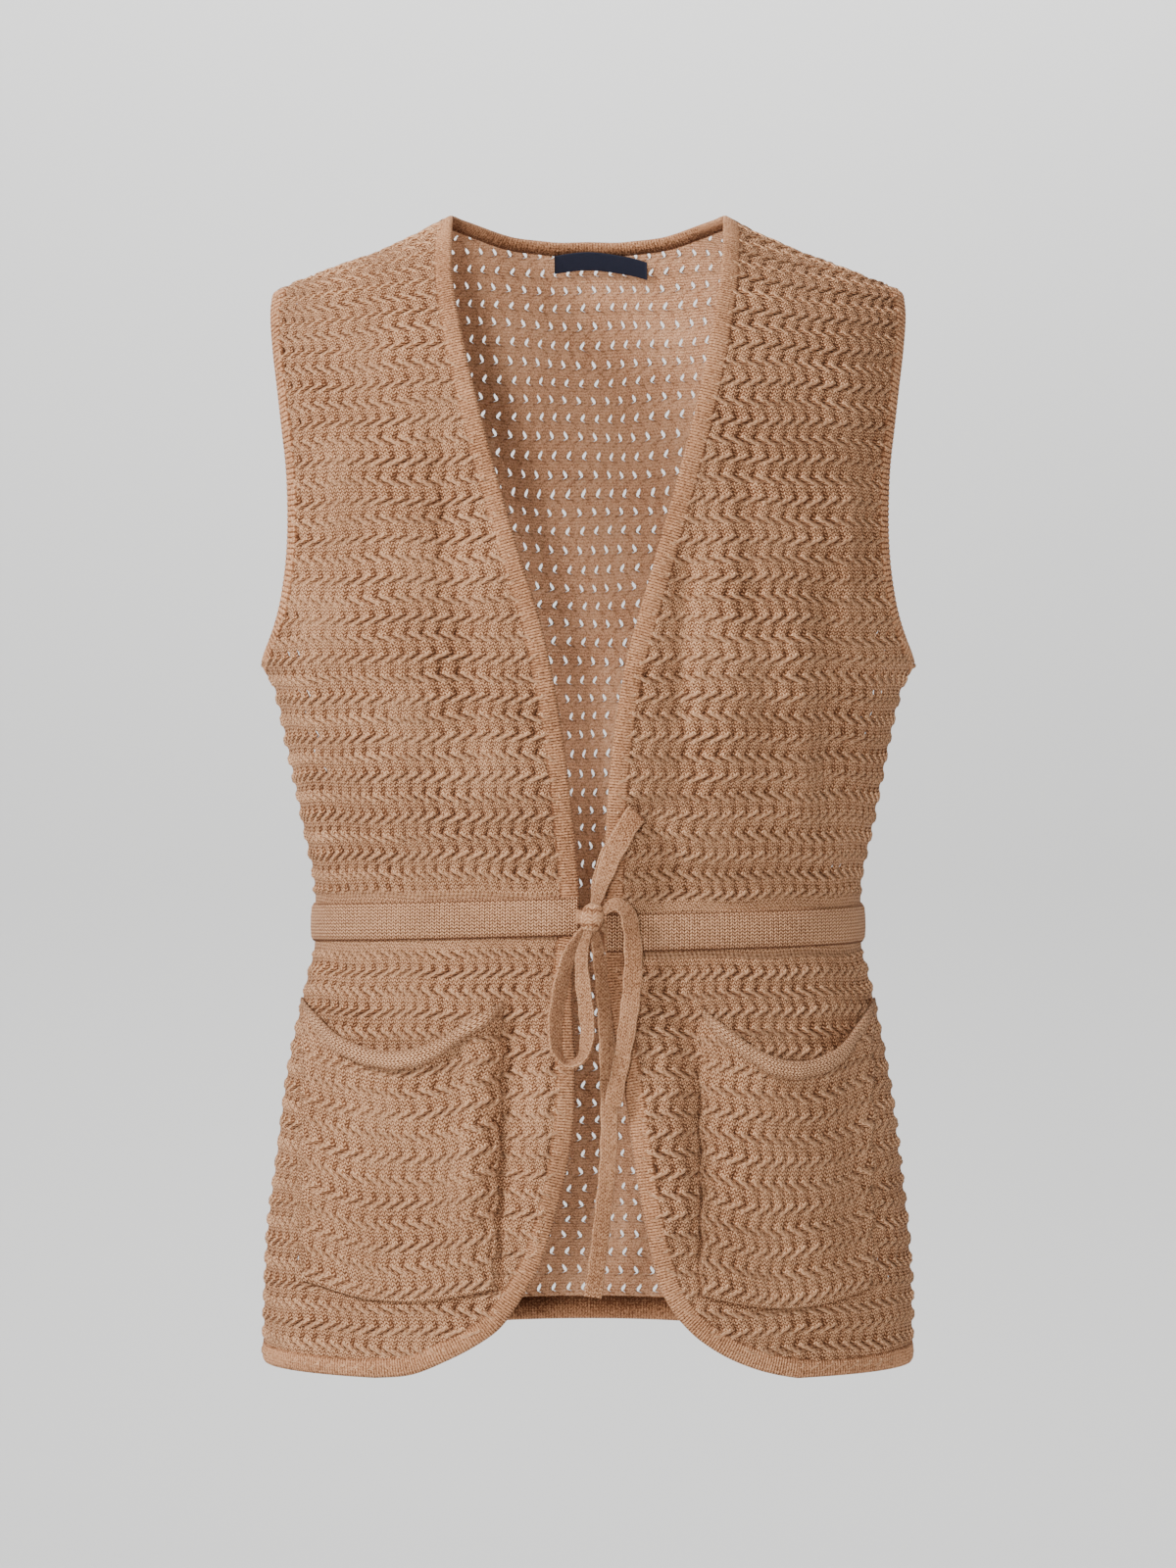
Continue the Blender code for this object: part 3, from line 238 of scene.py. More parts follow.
ROW_SAG = 1.25  # how they curve up to both sides at the back, per metre
SAG_FROM, SAG_OVER = -0.16, 0.12  # heights up the cloth over which that comes in

# One cell: heights of its rows of points, and how far the groove between two columns stands over to the
# right there. The next cell up is its mirror image, so the columns run up in a zigzag.
CELL_ROWS = np.array((0.00, 0.12, 0.24, 0.36, 0.48, 0.61, 0.74, 0.87))
CELL_SHIFT = np.array((-0.28, -0.38, -0.42, -0.12, 0.20, 0.47, 0.42, 0.34))
STROKE_RISE = np.array((0.00, 0.20, 0.90, 1.00, 1.00, 0.85, 0.20, 0.00))
GROOVE_RISE = np.array((0.10, 0.30, 0.80, 1.00, 1.00, 0.85, 0.40, 0.15))
EYELET_ROWS = np.array((0, 0, 0, 0, 0, 0.5, 1.0, 0.8))
CELL_COLUMNS = np.array((0.00, 0.09, 0.24, 0.42, 0.60, 0.78, 0.91))
# Which of those rows and columns of points a piece has.
CELL_CUTS = {
    "fine": (range(8), range(7)),
    "spare": ((0, 2, 3, 4, 5, 6, 7), (0, 1, 2, 4, 5, 6)),
    "lining": ((0, 3, 5, 6, 7), (0, 2, 4, 6)),
}
# Profiles of the strips. A band: share of its width from its seam, millimetres out, weight of the ribs.
BAND_PROFILE = (
    (-0.06, -1.5, 0.0), (-0.02, 0.25, 0.6), (0.16, 1.10, 1.0), (0.50, 1.35, 1.0), (0.84, 1.05, 1.0),
    (1.00, 0.0, 0.9), (0.90, -1.7, 0.5),
)
# The casing: share of its half height, millimetres out, weight of the ribs.
CASING_PROFILE = (
    (-0.94, -0.45, 0.0), (-1.00, 0.30, 0.3), (-0.92, 0.85, 0.7), (-0.78, 1.75, 1.0), (-0.30, 2.20, 1.0),
    (0.30, 2.20, 1.0), (0.78, 1.75, 1.0), (0.92, 0.85, 0.7), (1.00, 0.30, 0.3), (0.94, -0.45, 0.0),
)
# A pocket's curl: down and out, in its thicknesses.
ROLL_PROFILE = tuple(
    (0.5 - 0.62 * math.cos(turn), 0.55 + 0.60 * math.sin(turn))
    for turn in np.linspace(0, 2 * math.pi, 17)[:-1]
)
# The tie: share of its width and of half its thickness.
TIE_PROFILE = (
    (-0.50, 0.00), (-0.47, 0.62), (-0.36, 0.95), (-0.12, 1.00), (0.12, 1.00), (0.36, 0.95), (0.47, 0.62),
    (0.50, 0.00), (0.47, -0.62), (0.36, -0.95), (0.0, -1.00), (-0.36, -0.95), (-0.47, -0.62),
)
# The label: share of its height and of its thickness.
LABEL_PROFILE = ((0, 0.1), (0, 0.9), (0.06, 1.0), (0.94, 1.0), (1, 0.9), (1, 0.1), (0.94, 0), (0.06, 0))

# ---- room ----
CAMERA_LENS, CAMERA_PLACE = 99.0, (0, -2.6, -0.321)
FLOOR_Z, WALL_Y, WALL_TOP, FLOOR_FRONT, FLOOR_HALF, FLOOR_CURVE = -1.25, 3.4, 5.0, -6.0, 7.0, 0.8
FLOOR_COLOUR = (0.66, 0.66, 0.655)
AMBIENT = 0.20
VEST_MIDDLE = (0, 0, -0.32)
# Area lights: name, place, target, size, power.
LIGHTS = (
    ("key", (-2.2, -1.5, 1.45), (0, 0, -0.10), (0.7, 1.0), 140),
    ("fill", (2.2, -1.9, 0.4), VEST_MIDDLE, (1.8, 2.0), 20),
    ("top", (0.0, -0.2, 2.2), VEST_MIDDLE, (2.2, 2.2), 20),
    ("inside", (-0.30, -2.5, -0.30), (0, 0, -0.02), (0.2, 0.4), 33),
    ("backdrop", (0.15, 1.8, 2.3), (0.1, WALL_Y, -0.3), (3.4, 0.9), 166),
)


# ---- small tools ----
def hermite(start, end, start_slope, end_slope, t):
    """A cubic from start to end as t goes from 0 to 1."""
    return (
        start * (2 * t**3 - 3 * t**2 + 1)
        + start_slope * (t**3 - 2 * t**2 + t)
        + end * (3 * t**2 - 2 * t**3)
        + end_slope * (t**3 - t**2)
    )


def smooth(xs, ys, at):
    """Reads a table along a smooth curve that never overshoots its rows."""
    order = np.argsort(xs, kind="stable")
    xs, ys, at = xs[order], ys[order], np.asarray(at, float)
    step = np.diff(xs)
    slope = np.diff(ys) / step
    tangent = np.zeros(len(xs))
    both = slope[:-1] * slope[1:] > 0
    tangent[1:-1][both] = 2 * slope[:-1][both] * slope[1:][both] / (slope[:-1] + slope[1:])[both]
    tangent[0], tangent[-1] = slope[0], slope[-1]
    i = np.clip(np.searchsorted(xs, at) - 1, 0, len(step) - 1)
    t = np.clip((at - xs[i]) / step[i], 0, 1)
    return hermite(ys[i], ys[i + 1], tangent[i] * step[i], tangent[i + 1] * step[i], t)


def ease(t):
    t = np.clip(t, 0, 1)
    return t * t * (3 - 2 * t)


def unit(vectors):
    return vectors / np.maximum(np.linalg.norm(vectors, axis=-1, keepdims=True), 1e-12)


def length_along(points):
    return np.concatenate([[0], np.cumsum(np.linalg.norm(np.diff(points, axis=0), axis=1))])


def curve_through(points, count):
    """A smooth open curve through the points, of any number of columns, at equal steps along it."""
    along = length_along(points[:, :3])
    at = np.linspace(0, along[-1], count)
    tangent = np.gradient(points, along, axis=0)
    i = np.clip(np.searchsorted(along, at) - 1, 0, len(points) - 2)
    step = (along[i + 1] - along[i])[:, None]
    t = ((at - along[i])[:, None]) / step
    return hermite(points[i], points[i + 1], tangent[i] * step, tangent[i + 1] * step, t)


def between(lattice, column, row):
    """Values of a lattice at column and row numbers, straight between its points."""
    column, row = np.clip(column, 0, lattice.shape[1] - 1.001), np.clip(row, 0, lattice.shape[0] - 1.001)
    c, r = column.astype(int), row.astype(int)
    s, t = column - c, row - r
    if lattice.ndim == 3:
        s, t = s[..., None], t[..., None]
    lower = lattice[r, c] * (1 - s) + lattice[r, c + 1] * s
    upper = lattice[r + 1, c] * (1 - s) + lattice[r + 1, c + 1] * s
    return lower * (1 - t) + upper * t


def stacked(lines):
    """Points, stitch coordinates and shades of a strip's cross-sections, from those of its lines."""
    return [np.stack(part, axis=1) for part in zip(*lines)]


# ---- the two sheets ----
class Sheet:
    """One of the two sheets: its points and outward normals on a fine lattice of u and v."""

    U = np.linspace(-1, 1, 321)
    V = np.linspace(BOTTOM, ROLL, 401)
    HEIGHTS = np.linspace(0, 0.26, 131)  # up the cloth from where it starts to turn over
    TURNS = np.linspace(-math.pi / 2, math.pi / 2, 1201)

    def __init__(self, side):
        self.side = side
        self.flat_x = np.empty((len(self.V), len(self.U)))
        flat_y = np.empty_like(self.flat_x)
        for row, v in enumerate(self.V):
            z = TURN_Z + min(v, 0)
            width = smooth(SECTIONS["z"], SECTIONS["half_width"], z)
            depth = smooth(SECTIONS["z"], SECTIONS["front" if side == FRONT else "back"], z)
            x = width * np.sign(np.sin(self.TURNS)) * np.abs(np.sin(self.TURNS)) ** (2 / SQUARENESS)
            y = side * depth * np.cos(self.TURNS).clip(0) ** (2 / SQUARENESS)
            along = np.concatenate([[0], np.cumsum(np.hypot(np.diff(x), np.diff(y)))])
            at = (self.U + 1) / 2 * along[-1]
            self.flat_x[row] = np.interp(at, along, x)
            flat_y[row] = np.interp(at, along, y)
        over = np.clip(self.V / ROLL, 0, 1)[:, None] * math.pi / 2
        rise = smooth(SHOULDER["x"], SHOULDER["z"], np.abs(self.flat_x)) - TURN_Z
        z = TURN_Z + np.minimum(self.V, 0)[:, None] + rise * np.sin(over)
        if side == BACK:
            z = z + BACK_HEM_LIFT * (1 - self.U**2) ** 2 * ease((LIFT_FROM_Z - z) / LIFT_HEIGHT)
        self.points = np.stack([self.flat_x, flat_y * np.cos(over), z], axis=-1)
        self.normals = self.find_normals()
        self.points = self.points + self.normals * self.folds()[..., None]
        self.normals = self.find_normals()
        self.rows = self.find_rows()

    def find_normals(self):
        across, up = np.gradient(self.points, axis=1), np.gradient(self.points, axis=0)
        return unit(np.cross(across, up)) * -self.side

    def folds(self):
        """How far the folds and creases stand out, over the lattice."""
        out = np.zeros(self.points.shape[:2])
        x, z = self.points[..., 0], self.points[..., 2]
        rows = np.array(FOLDS[self.side] + CREASES[self.side]) * MM
        for top_x, top_z, foot_x, foot_z, width, depth in rows:
            run = np.array([foot_x - top_x, foot_z - top_z])
            length = np.hypot(*run)
            along = ((x - top_x) * run[0] + (z - top_z) * run[1]) / length**2
            off = ((x - top_x) * run[1] - (z - top_z) * run[0]) / length
            ends = ease(along / 0.25) * ease((1 - along) / 0.25)
            out += depth * np.exp(-((off / width) ** 2)) * ends
        return out

    def find_rows(self):
        """v at even heights measured up the cloth, in each column."""
        top = self.V >= 0
        steps = np.linalg.norm(np.diff(self.points[top], axis=0), axis=-1)
        first = self.V[top][0]
        run = np.concatenate([np.full((1, steps.shape[1]), first), first + np.cumsum(steps, axis=0)])
        rows = np.empty((len(self.HEIGHTS), len(self.U)))
        for column in range(len(self.U)):
            past = np.maximum(self.HEIGHTS - run[-1, column], 0)
            rows[:, column] = np.interp(self.HEIGHTS, run[:, column], self.V[top]) + past
        return rows

    def column(self, u):
        return (np.asarray(u, float) + 1) / 2 * (len(self.U) - 1)

    def read(self, lattice, u, v):
        row = (np.asarray(v, float) - BOTTOM) / (ROLL - BOTTOM) * (len(self.V) - 1)
        return between(lattice, self.column(u), row)

    def v_of_height(self, u, height):
        """v of a place by its height measured up the cloth."""
        over = between(self.rows, self.column(u), height / self.HEIGHTS[1])
        return np.where(height > self.V[self.V >= 0][0], over, height)

    def at(self, u, v, out=0.0):
        normal = unit(self.read(self.normals, u, v))
        return self.read(self.points, u, v) + normal * np.asarray(out)[..., None]

    def u_of(self, x, v):
        """The column at distance x from the centre plane, at height v."""
        return np.array([
            np.interp(one_x, self.read(self.flat_x, self.U, np.full(len(self.U), one_v)), self.U)
            for one_x, one_v in zip(np.atleast_1d(x), np.atleast_1d(v))
        ])

    @staticmethod
    def v_of(x, z):
        """The v of a point seen at x and height z."""
        rise = smooth(SHOULDER["x"], SHOULDER["z"], np.abs(x)) - TURN_Z
        over = np.arcsin(np.clip((z - TURN_Z) / rise, 0, 1)) / (math.pi / 2) * ROLL
        return np.where(z > TURN_Z, over, z - TURN_Z)

    def seen_at(self, x, z, out=0.0):
        """The point of the sheet that is seen at x and height z."""
        v = self.v_of(x, z)
        return self.at(self.u_of(x, v), v, out)

    def line(self, x, z, count=500):
        """A smooth line on the sheet through points seen at x and z, as u and v."""
        path = curve_through(np.stack([x, np.zeros(len(x)), z], axis=1), count)
        v = self.v_of(path[:, 0], path[:, 2])
        return np.stack([self.u_of(path[:, 0], v), v], axis=1)

    def moved(self, line, distance):
        """The line moved sideways over the cloth, to its left seen from outside."""
        points = self.at(line[:, 0], line[:, 1])
        tangent = unit(np.gradient(points, axis=0))
        side = np.cross(unit(self.read(self.normals, line[:, 0], line[:, 1])), tangent) * distance
        step = 1e-3
        u, v = line[:, 0], np.clip(line[:, 1], BOTTOM + step, ROLL - step)
        inside = np.clip(u, -1 + step, 1 - step)
        along_u = (self.at(inside + step, v) - self.at(inside - step, v)) / (2 * step)
        along_v = (self.at(u, v + step) - self.at(u, v - step)) / (2 * step)
        a, b, c = (along_u**2).sum(1), (along_u * along_v).sum(1), (along_v**2).sum(1)
        d, e = (along_u * side).sum(1), (along_v * side).sum(1)
        det = a * c - b * b
        return line + np.stack([(c * d - b * e) / det, (a * e - b * d) / det], axis=1)


def casing_z(u, side):
    """Height of the casing's middle line."""
    rise = np.where(u < 0, CASING_RISE[-1], CASING_RISE[1]) * (1 - np.abs(u))
    return CASING_Z + (rise if side == FRONT else 0 * rise)


# ---- materials ----
# Yarns: dark, middle and light colour, depth of the stitches, their lean, and how strongly the gaps between
# stitch legs are painted darker. The dark and light colours are mostly painted shade and painted highlight of
# the middle one, reached also through random fibre and patch tone. The purl is lighter, partly its own tone
# and partly painted light for the dim inside of the back.
YARNS = {
    "knit": ((0.140, 0.050, 0.020), (0.560, 0.268, 0.132), (0.860, 0.490, 0.275), 0.9 * MM, -1.7, 0.95),
    "purl": ((0.380, 0.165, 0.082), (0.760, 0.400, 0.222), (0.920, 0.590, 0.375), 0.5 * MM, 0.9, 0.35),
    "rib": ((0.130, 0.047, 0.019), (0.510, 0.243, 0.121), (0.800, 0.455, 0.255), 0.3 * MM, -1.7, 0.2),
    "tie": ((0.160, 0.060, 0.026), (0.470, 0.235, 0.120), (0.700, 0.405, 0.230), 0.45 * MM, -1.7, 0.4),
    "jersey": ((0.130, 0.047, 0.019), (0.540, 0.258, 0.128), (0.860, 0.495, 0.280), 0.9 * MM, -1.6, 1.15),
}
YARN_STOPS = (0.08, 0.45, 0.88)  # values of the painted shading at which the dark (painted shade), middle and light (painted highlight) colour stand
YARN_ROUGHNESS, FIBRE_DEPTH = 0.88, 0.2 * MM
STITCH_MIDDLE, FIBRE_SHARE, PATCH_SHARE = 0.55, 1.3, 0.35
CLOTH_LOOKS = {"Specular IOR Level": 0.15, "Sheen Weight": 0.05, "Sheen Roughness": 0.45,
               "Sheen Tint": (0.95, 0.82, 0.68, 1)}


def new_material(name, colour, roughness, others):
    made = bpy.data.materials.new(name)
    made.use_nodes = True
    shader = made.node_tree.nodes["Principled BSDF"]
    for key, value in {"Base Color": (*colour, 1), "Roughness": roughness, **others}.items():
        shader.inputs[key].default_value = value
    return made, made.node_tree, shader


def add_node(tree, kind, inputs, **settings):
    """Outputs of a new node, with its inputs, by name or number, set to values or linked to outputs."""
    node = tree.nodes.new("ShaderNode" + kind)
    for key, value in settings.items():
        setattr(node, key, value)
    for key, value in inputs.items():
        if isinstance(value, bpy.types.NodeSocket):
            tree.links.new(value, node.inputs[key])
        elif value is not None:
            node.inputs[key].default_value = value
    return node.outputs


def math_node(tree, kind, *values):
    return add_node(tree, "Math", dict(enumerate(values)), operation=kind)[0]


def noise(tree, place, scale, detail, roughness=0.5):
    inputs = {"Vector": place, "Scale": scale, "Detail": detail, "Roughness": roughness}
    return add_node(tree, "TexNoise", inputs)["Fac"]


def bump(tree, shader, height, distance, strength, under=None):
    inputs = {"Height": height, "Distance": distance, "Strength": strength, "Normal": under}
    normal = add_node(tree, "Bump", inputs)["Normal"]
    tree.links.new(normal, shader.inputs["Normal"])
    return normal


def colour_by(tree, shader, value, stops):
    """Sets the base colour by a value, with a colour at each of two or more stops."""
    node = tree.nodes.new("ShaderNodeValToRGB")
    tree.links.new(value, node.inputs["Fac"])
    line = node.color_ramp
    line.elements[0].position, line.elements[0].color = stops[0][0], (*stops[0][1], 1)
    line.elements[1].position, line.elements[1].color = stops[-1][0], (*stops[-1][1], 1)
    for at, colour in stops[1:-1]:
        line.elements.new(at).color = (*colour, 1)
    tree.links.new(node.outputs["Color"], shader.inputs["Base Color"])


def stitch_height(tree, lean):
    """Height of the stitches, one to each unit of the piece's stitch coordinates: two legs in a V."""
    uv = add_node(tree, "UVMap", {}, uv_map="stitch")["UV"]
    split = add_node(tree, "SeparateXYZ", {"Vector": uv})
    aside = math_node(tree, "SUBTRACT", math_node(tree, "FRACT", split["X"]), 0.5)
    aside = math_node(tree, "ABSOLUTE", aside)
    up = math_node(tree, "MULTIPLY_ADD", aside, lean, split["Y"])
    leg = math_node(tree, "ABSOLUTE", math_node(tree, "SINE", math_node(tree, "MULTIPLY", up, math.pi)))
    edge = math_node(tree, "MULTIPLY", aside, math_node(tree, "SUBTRACT", 0.5, aside))
    edge = math_node(tree, "POWER", math_node(tree, "MULTIPLY", edge, 16.0), 0.5)
    return math_node(tree, "MULTIPLY", leg, edge)


def yarn_material(name, dark, middle, light, depth, lean, stitch_shade):
    """Matt cotton yarn in jersey stitches. Its colour follows the piece's painted shading, painted shade in
    the grooves and between stitch legs and painted highlight on the crowns, with random fibre and patch tone.
    """
    made, tree, shader = new_material(name, middle, YARN_ROUGHNESS, CLOTH_LOOKS)
    place = add_node(tree, "TexCoord", {})["Object"]
    fibre = noise(tree, place, 850.0, 2.0, 0.6)
    patch = noise(tree, place, 22.0, 2.0)
    stitch = stitch_height(tree, lean)
    # Each of these adds to the painted shading by how far it stands off its own middle: the stitch as painted
    # shade between its legs, fibre and patch as random tone.
    shade = add_node(tree, "Attribute", {}, attribute_name="painted_shading")["Fac"]
    parts = ((stitch, STITCH_MIDDLE, stitch_shade), (fibre, 0.5, FIBRE_SHARE), (patch, 0.5, PATCH_SHARE))
    for value, at, share in parts:
        shade = math_node(tree, "MULTIPLY_ADD", math_node(tree, "SUBTRACT", value, at), share, shade)
    colour_by(tree, shader, shade, tuple(zip(YARN_STOPS, (dark, middle, light))))
    bump(tree, shader, fibre, FIBRE_DEPTH, 0.9, bump(tree, shader, stitch, depth, 1.0))
    return made


def label_material():
    """Dark woven tape."""
    made, tree, shader = new_material("label", (0.012, 0.014, 0.028), 0.6, CLOTH_LOOKS)
    place = add_node(tree, "TexCoord", {})["Object"]
    wave = add_node(tree, "TexWave", {"Vector": place, "Scale": 900.0})["Fac"]
    height = math_node(tree, "MULTIPLY_ADD", noise(tree, place, 1400.0, 2.0), 0.5, wave)
    colour_by(tree, shader, height, ((0.2, (0.007, 0.008, 0.017)), (1.0, (0.022, 0.025, 0.045))))
    bump(tree, shader, height, 0.12 * MM, 0.7)
    return made


# ---- pieces ----
def add_piece(name, points, faces, look, node, uv, painted_shading):
    """A mesh piece that rides on the vest and stands for a node of the solids."""
    mesh = bpy.data.meshes.new(name)
    used = np.unique(faces)
    renumbered = np.full(len(points), -1)
    renumbered[used] = np.arange(len(used))
    points, faces = points[used], renumbered[faces]
    mesh.vertices.add(len(points))
    mesh.vertices.foreach_set("co", points.astype(np.float32).ravel())
    mesh.loops.add(faces.size)
    mesh.loops.foreach_set("vertex_index", faces.astype(np.int32).ravel())
    mesh.polygons.add(len(faces))
    mesh.polygons.foreach_set("loop_start", np.arange(0, faces.size, faces.shape[1], dtype=np.int32))
    mesh.update(calc_edges=True)
    layer = mesh.uv_layers.new(name="stitch")
    layer.data.foreach_set("uv", uv[used][faces.ravel()].astype(np.float32).ravel())
    field = mesh.attributes.new("painted_shading", "FLOAT", "POINT")
    field.data.foreach_set("value", painted_shading[used].astype(np.float32))
    mesh.validate()
    mesh.shade_smooth()
    mesh.materials.append(LOOKS[look])
    obj = bpy.data.objects.new(name, mesh)
    bpy.context.scene.collection.objects.link(obj)
    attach(obj, "root")
    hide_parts(node)
    return obj


def tube_faces(count, sides, closed):
    i, k = np.meshgrid(np.arange(count if closed else count - 1), np.arange(sides), indexing="ij")
    i, k = i.ravel(), k.ravel()
    j, m = (i + 1) % count, (k + 1) % sides
    return np.stack([i * sides + k, j * sides + k, j * sides + m, i * sides + m], axis=1)


def add_rings(name, look, node, rings, uv, painted_shading, closed=False):
    """A piece through cross-sections, closed at its ends by a middle point unless it is a loop."""
    count, sides = rings.shape[:2]
    points, faces = rings.reshape(-1, 3), tube_faces(count, sides, closed)
    uv, painted_shading = uv.reshape(-1, 2), painted_shading.reshape(-1)
    if not closed:
        k = np.arange(sides)
        m = (k + 1) % sides
        first, base = len(points), (count - 1) * sides
        caps = [
            np.stack([m, k, np.full(sides, first)], axis=1),
            np.stack([base + k, base + m, np.full(sides, first + 1)], axis=1),
        ]
        points = np.concatenate([points, [rings[0].mean(axis=0), rings[-1].mean(axis=0)]])
        uv = np.concatenate([uv, uv[[0, -1]]])
        painted_shading = np.concatenate([painted_shading, painted_shading[[0, -1]]])
        faces = np.concatenate([faces[:, [0, 1, 2]], faces[:, [0, 2, 3]], *caps])
    return add_piece(name, points, faces, look, node, uv, painted_shading)


# ---- knit ----
def stroke_relief(across, row, sign):
    """Height and painted shade of a cell at a place across its column and at one of its rows of points: a
    painted highlight on the stroke and crown, painted shade in the groove.
    """
    rise = STROKE_RISE[row]
    lean = np.where(sign > 0, across, 1 - across)
    rope = np.exp(-(((lean - ROPE_AT) / np.where(lean < ROPE_AT, *ROPE_FALLS)) ** 2))
    groove = np.exp(-((np.minimum(across, 1 - across) / GROOVE_FALL) ** 2)) * GROOVE_RISE[row]
    crown = np.sin(math.pi * across)
    height = CROWN_HEIGHT * crown + STROKE_HEIGHT * rise * rope - GROOVE_DEPTH * groove
    shade = GROUND_SHADE + CROWN_SHADE * crown + STROKE_SHADE * rise * rope - GROOVE_SHADE * groove
    return height, np.clip(shade, 0, 1)


def wander(s, t, turn):
    """A slow, uneven wave over the cloth, from -1 to 1."""
    return np.sin(0.83 * s + 0.31 * t + turn) * np.sin(0.29 * s - 0.47 * t + 1.7 * turn)


def add_knit(name, columns, rows, place, keep, pattern, look, node, opens=lambda s, t: True, cut="fine",
             bold=1.0, eyelet=EYELET_HALF):
    """Cabled cloth in cells, from one column and row number to another.

    place turns column and row numbers and a height into points, keep says which of them the piece holds,
    and pattern is 0 where the cloth is plain jersey and negative where a seam draws it in and paints shade
    beside it. opens says which eyelets are cut through, bold is how strong the cables are, and eyelet is
    half an eyelet's width.
    """
    row_ids, column_ids = (np.array(ids) for ids in CELL_CUTS[cut])
    line_row = np.append(np.repeat(np.arange(*rows), len(row_ids)), rows[1])
    line_id = np.append(np.tile(row_ids, rows[1] - rows[0]), 0)
    sign = np.where(line_row % 2 == 0, 1.0, -1.0)
    across = np.append(CELL_COLUMNS[column_ids], 1.0)
    # Half widths of the eyelets, at each line and each boundary between two columns. A pit is one that
    # may be cut through or not.
    edges = np.arange(columns[0], columns[1] + 1)
    up, aside = line_row[:, None] + EYELET_UP + 0 * edges, edges + sign[:, None] * EYELET_ASIDE
    gap = eyelet * EYELET_ROWS[line_id][:, None] * (pattern(aside, up) > 0.5)
    pit = gap > 0
    gap = gap * opens(aside, up)
    left, right = gap[:, :-1, None], gap[:, 1:, None]
    column = edges[:-1][None, :, None]
    s = column + (left + across * (1 - left - right)) + (sign * CELL_SHIFT[line_id])[:, None, None]
    t = np.broadcast_to((line_row + CELL_ROWS[line_id])[:, None, None], s.shape)
    height, shade = stroke_relief(across[None, None, :], line_id[:, None, None], sign[:, None, None])
    # Rims of the pits are drawn in and painted dark, as painted shade in the hole; the next points in less
    # so, by RIM_FALL.
    rim = np.zeros(s.shape)
    for near, far, drawn_in in ((0, -1, 1.0), (1, -2, RIM_FALL)):
        rim[:, :, near], rim[:, :, far] = drawn_in * pit[:, :-1], drawn_in * pit[:, 1:]
    height = height - EYELET_DEPTH * rim
    shade = shade * (1 - rim)
    # Beside a pocket's seam the cloth is drawn in and painted darker, as painted shadow.
    strength = pattern(s, t)
    seam, strength = np.clip(-strength, 0, 1), np.clip(strength, 0, 1)
    uneven = bold * (0.9 + 0.3 * wander(s, t, 0.4))
    height = height * strength * uneven + PLAIN_HEIGHT * (1 - strength) - SEAM_DEPTH * seam
    shade = PLAIN_SHADE + (shade - PLAIN_SHADE) * strength * uneven - SEAM_SHADE * seam
    # The lining keeps the painted shade at LINING_CONTRAST of its strength.
    if cut == "lining":
        height = np.full_like(height, -LINING_DEPTH)
        shade = LINING_SHADE + LINING_CONTRAST * shade
    uv = np.stack([np.broadcast_to((column + across) * WALES, s.shape), t * COURSES], axis=-1)
    # Two columns share their points where no eyelet parts them.
    index = np.arange(s.size).reshape(s.shape)
    index[:, 1:, 0] = np.where(gap[:, 1:-1] < 1e-9, index[:, :-1, -1], index[:, 1:, 0])
    faces = np.stack([
        index[:-1, :, :-1], index[:-1, :, 1:], index[1:, :, 1:], index[1:, :, :-1],
    ], axis=-1).reshape(-1, 4)
    s = s + 0.16 * wander(s, t, 1.9)
    t = t + 0.10 * wander(t, s, 3.1)
    s, t, height, shade = s.ravel(), t.ravel(), height.ravel(), shade.ravel()
    faces = faces[keep(s, t)[faces].all(axis=1)]
    points = place(s, t, height)
    corners = points[faces]
    size = np.linalg.norm(np.cross(corners[:, 2] - corners[:, 0], corners[:, 3] - corners[:, 1]), axis=1)
    return add_piece(name, points, faces[size > LEAST_SIZE], look, node, uv.reshape(-1, 2), shade)


# ---- edges ----
class Edge:
    """A free edge with a ribbed band: its outer line and the band's other side, at equal steps."""

    def __init__(self, sheet, line, width, pitch=FRONT_RIB_PITCH, step=FRONT_RIB_STEP):
        self.sheet, self.width, self.pitch = sheet, width, pitch
        along = length_along(sheet.at(line[:, 0], line[:, 1]))
        self.along = np.linspace(0, along[-1], int(along[-1] / step))
        self.outer, self.seam = (
            np.stack([
                np.clip(np.interp(self.along, along, one[:, 0]), -1, 1),
                np.minimum(np.interp(self.along, along, one[:, 1]), ROLL),
            ], axis=1)
            for one in (line, sheet.moved(line, width))
        )
        self.cut = sheet.moved(line, width * (1 - UNDER_BAND))  # where the panel ends under the band

    def rings(self):
        """The band's cross-sections, with ribs at the pitch, their stitch coordinates and their painted
        shade, darker in the rib valleys and along the seam.
        """
        (a, na), (b, nb) = (
            (self.sheet.at(*line.T), unit(self.sheet.read(self.sheet.normals, *line.T)))
            for line in (self.seam, self.outer)
        )
        turn = 2 * math.pi * self.along / self.pitch
        wave = 0.5 - 0.35 * np.cos(turn) - 0.15 * np.cos(2 * turn)
        lines = []
        for across, out, weight in BAND_PROFILE:
            lift = (out * MM + RIB_HEIGHT * weight * (wave - 0.5))[:, None]
            rows = np.full(len(wave), across * abs(self.width) / BAND_STITCH)
            # Painted shade in the rib valleys, and a painted shadow line along the band's seam.
            ribs = BAND_CONTRAST * (wave - 0.55) * (0.3 + 0.7 * weight)
            lines.append((
                a + (b - a) * across + unit(na + (nb - na) * across) * lift,
                np.stack([self.along / self.pitch, rows], axis=1),
                BAND_SHADE + ribs - SEAM_SHADE * (across < 0.1),
            ))
        return stacked(lines)


def front_edge(side):
    edge = EDGES[side]
    line = SHEETS[FRONT].line(edge["x"], edge["z"])
    line[0, 1], line[-1, 0] = ROLL, side
    return Edge(SHEETS[FRONT], line, side * BAND_WIDTH)


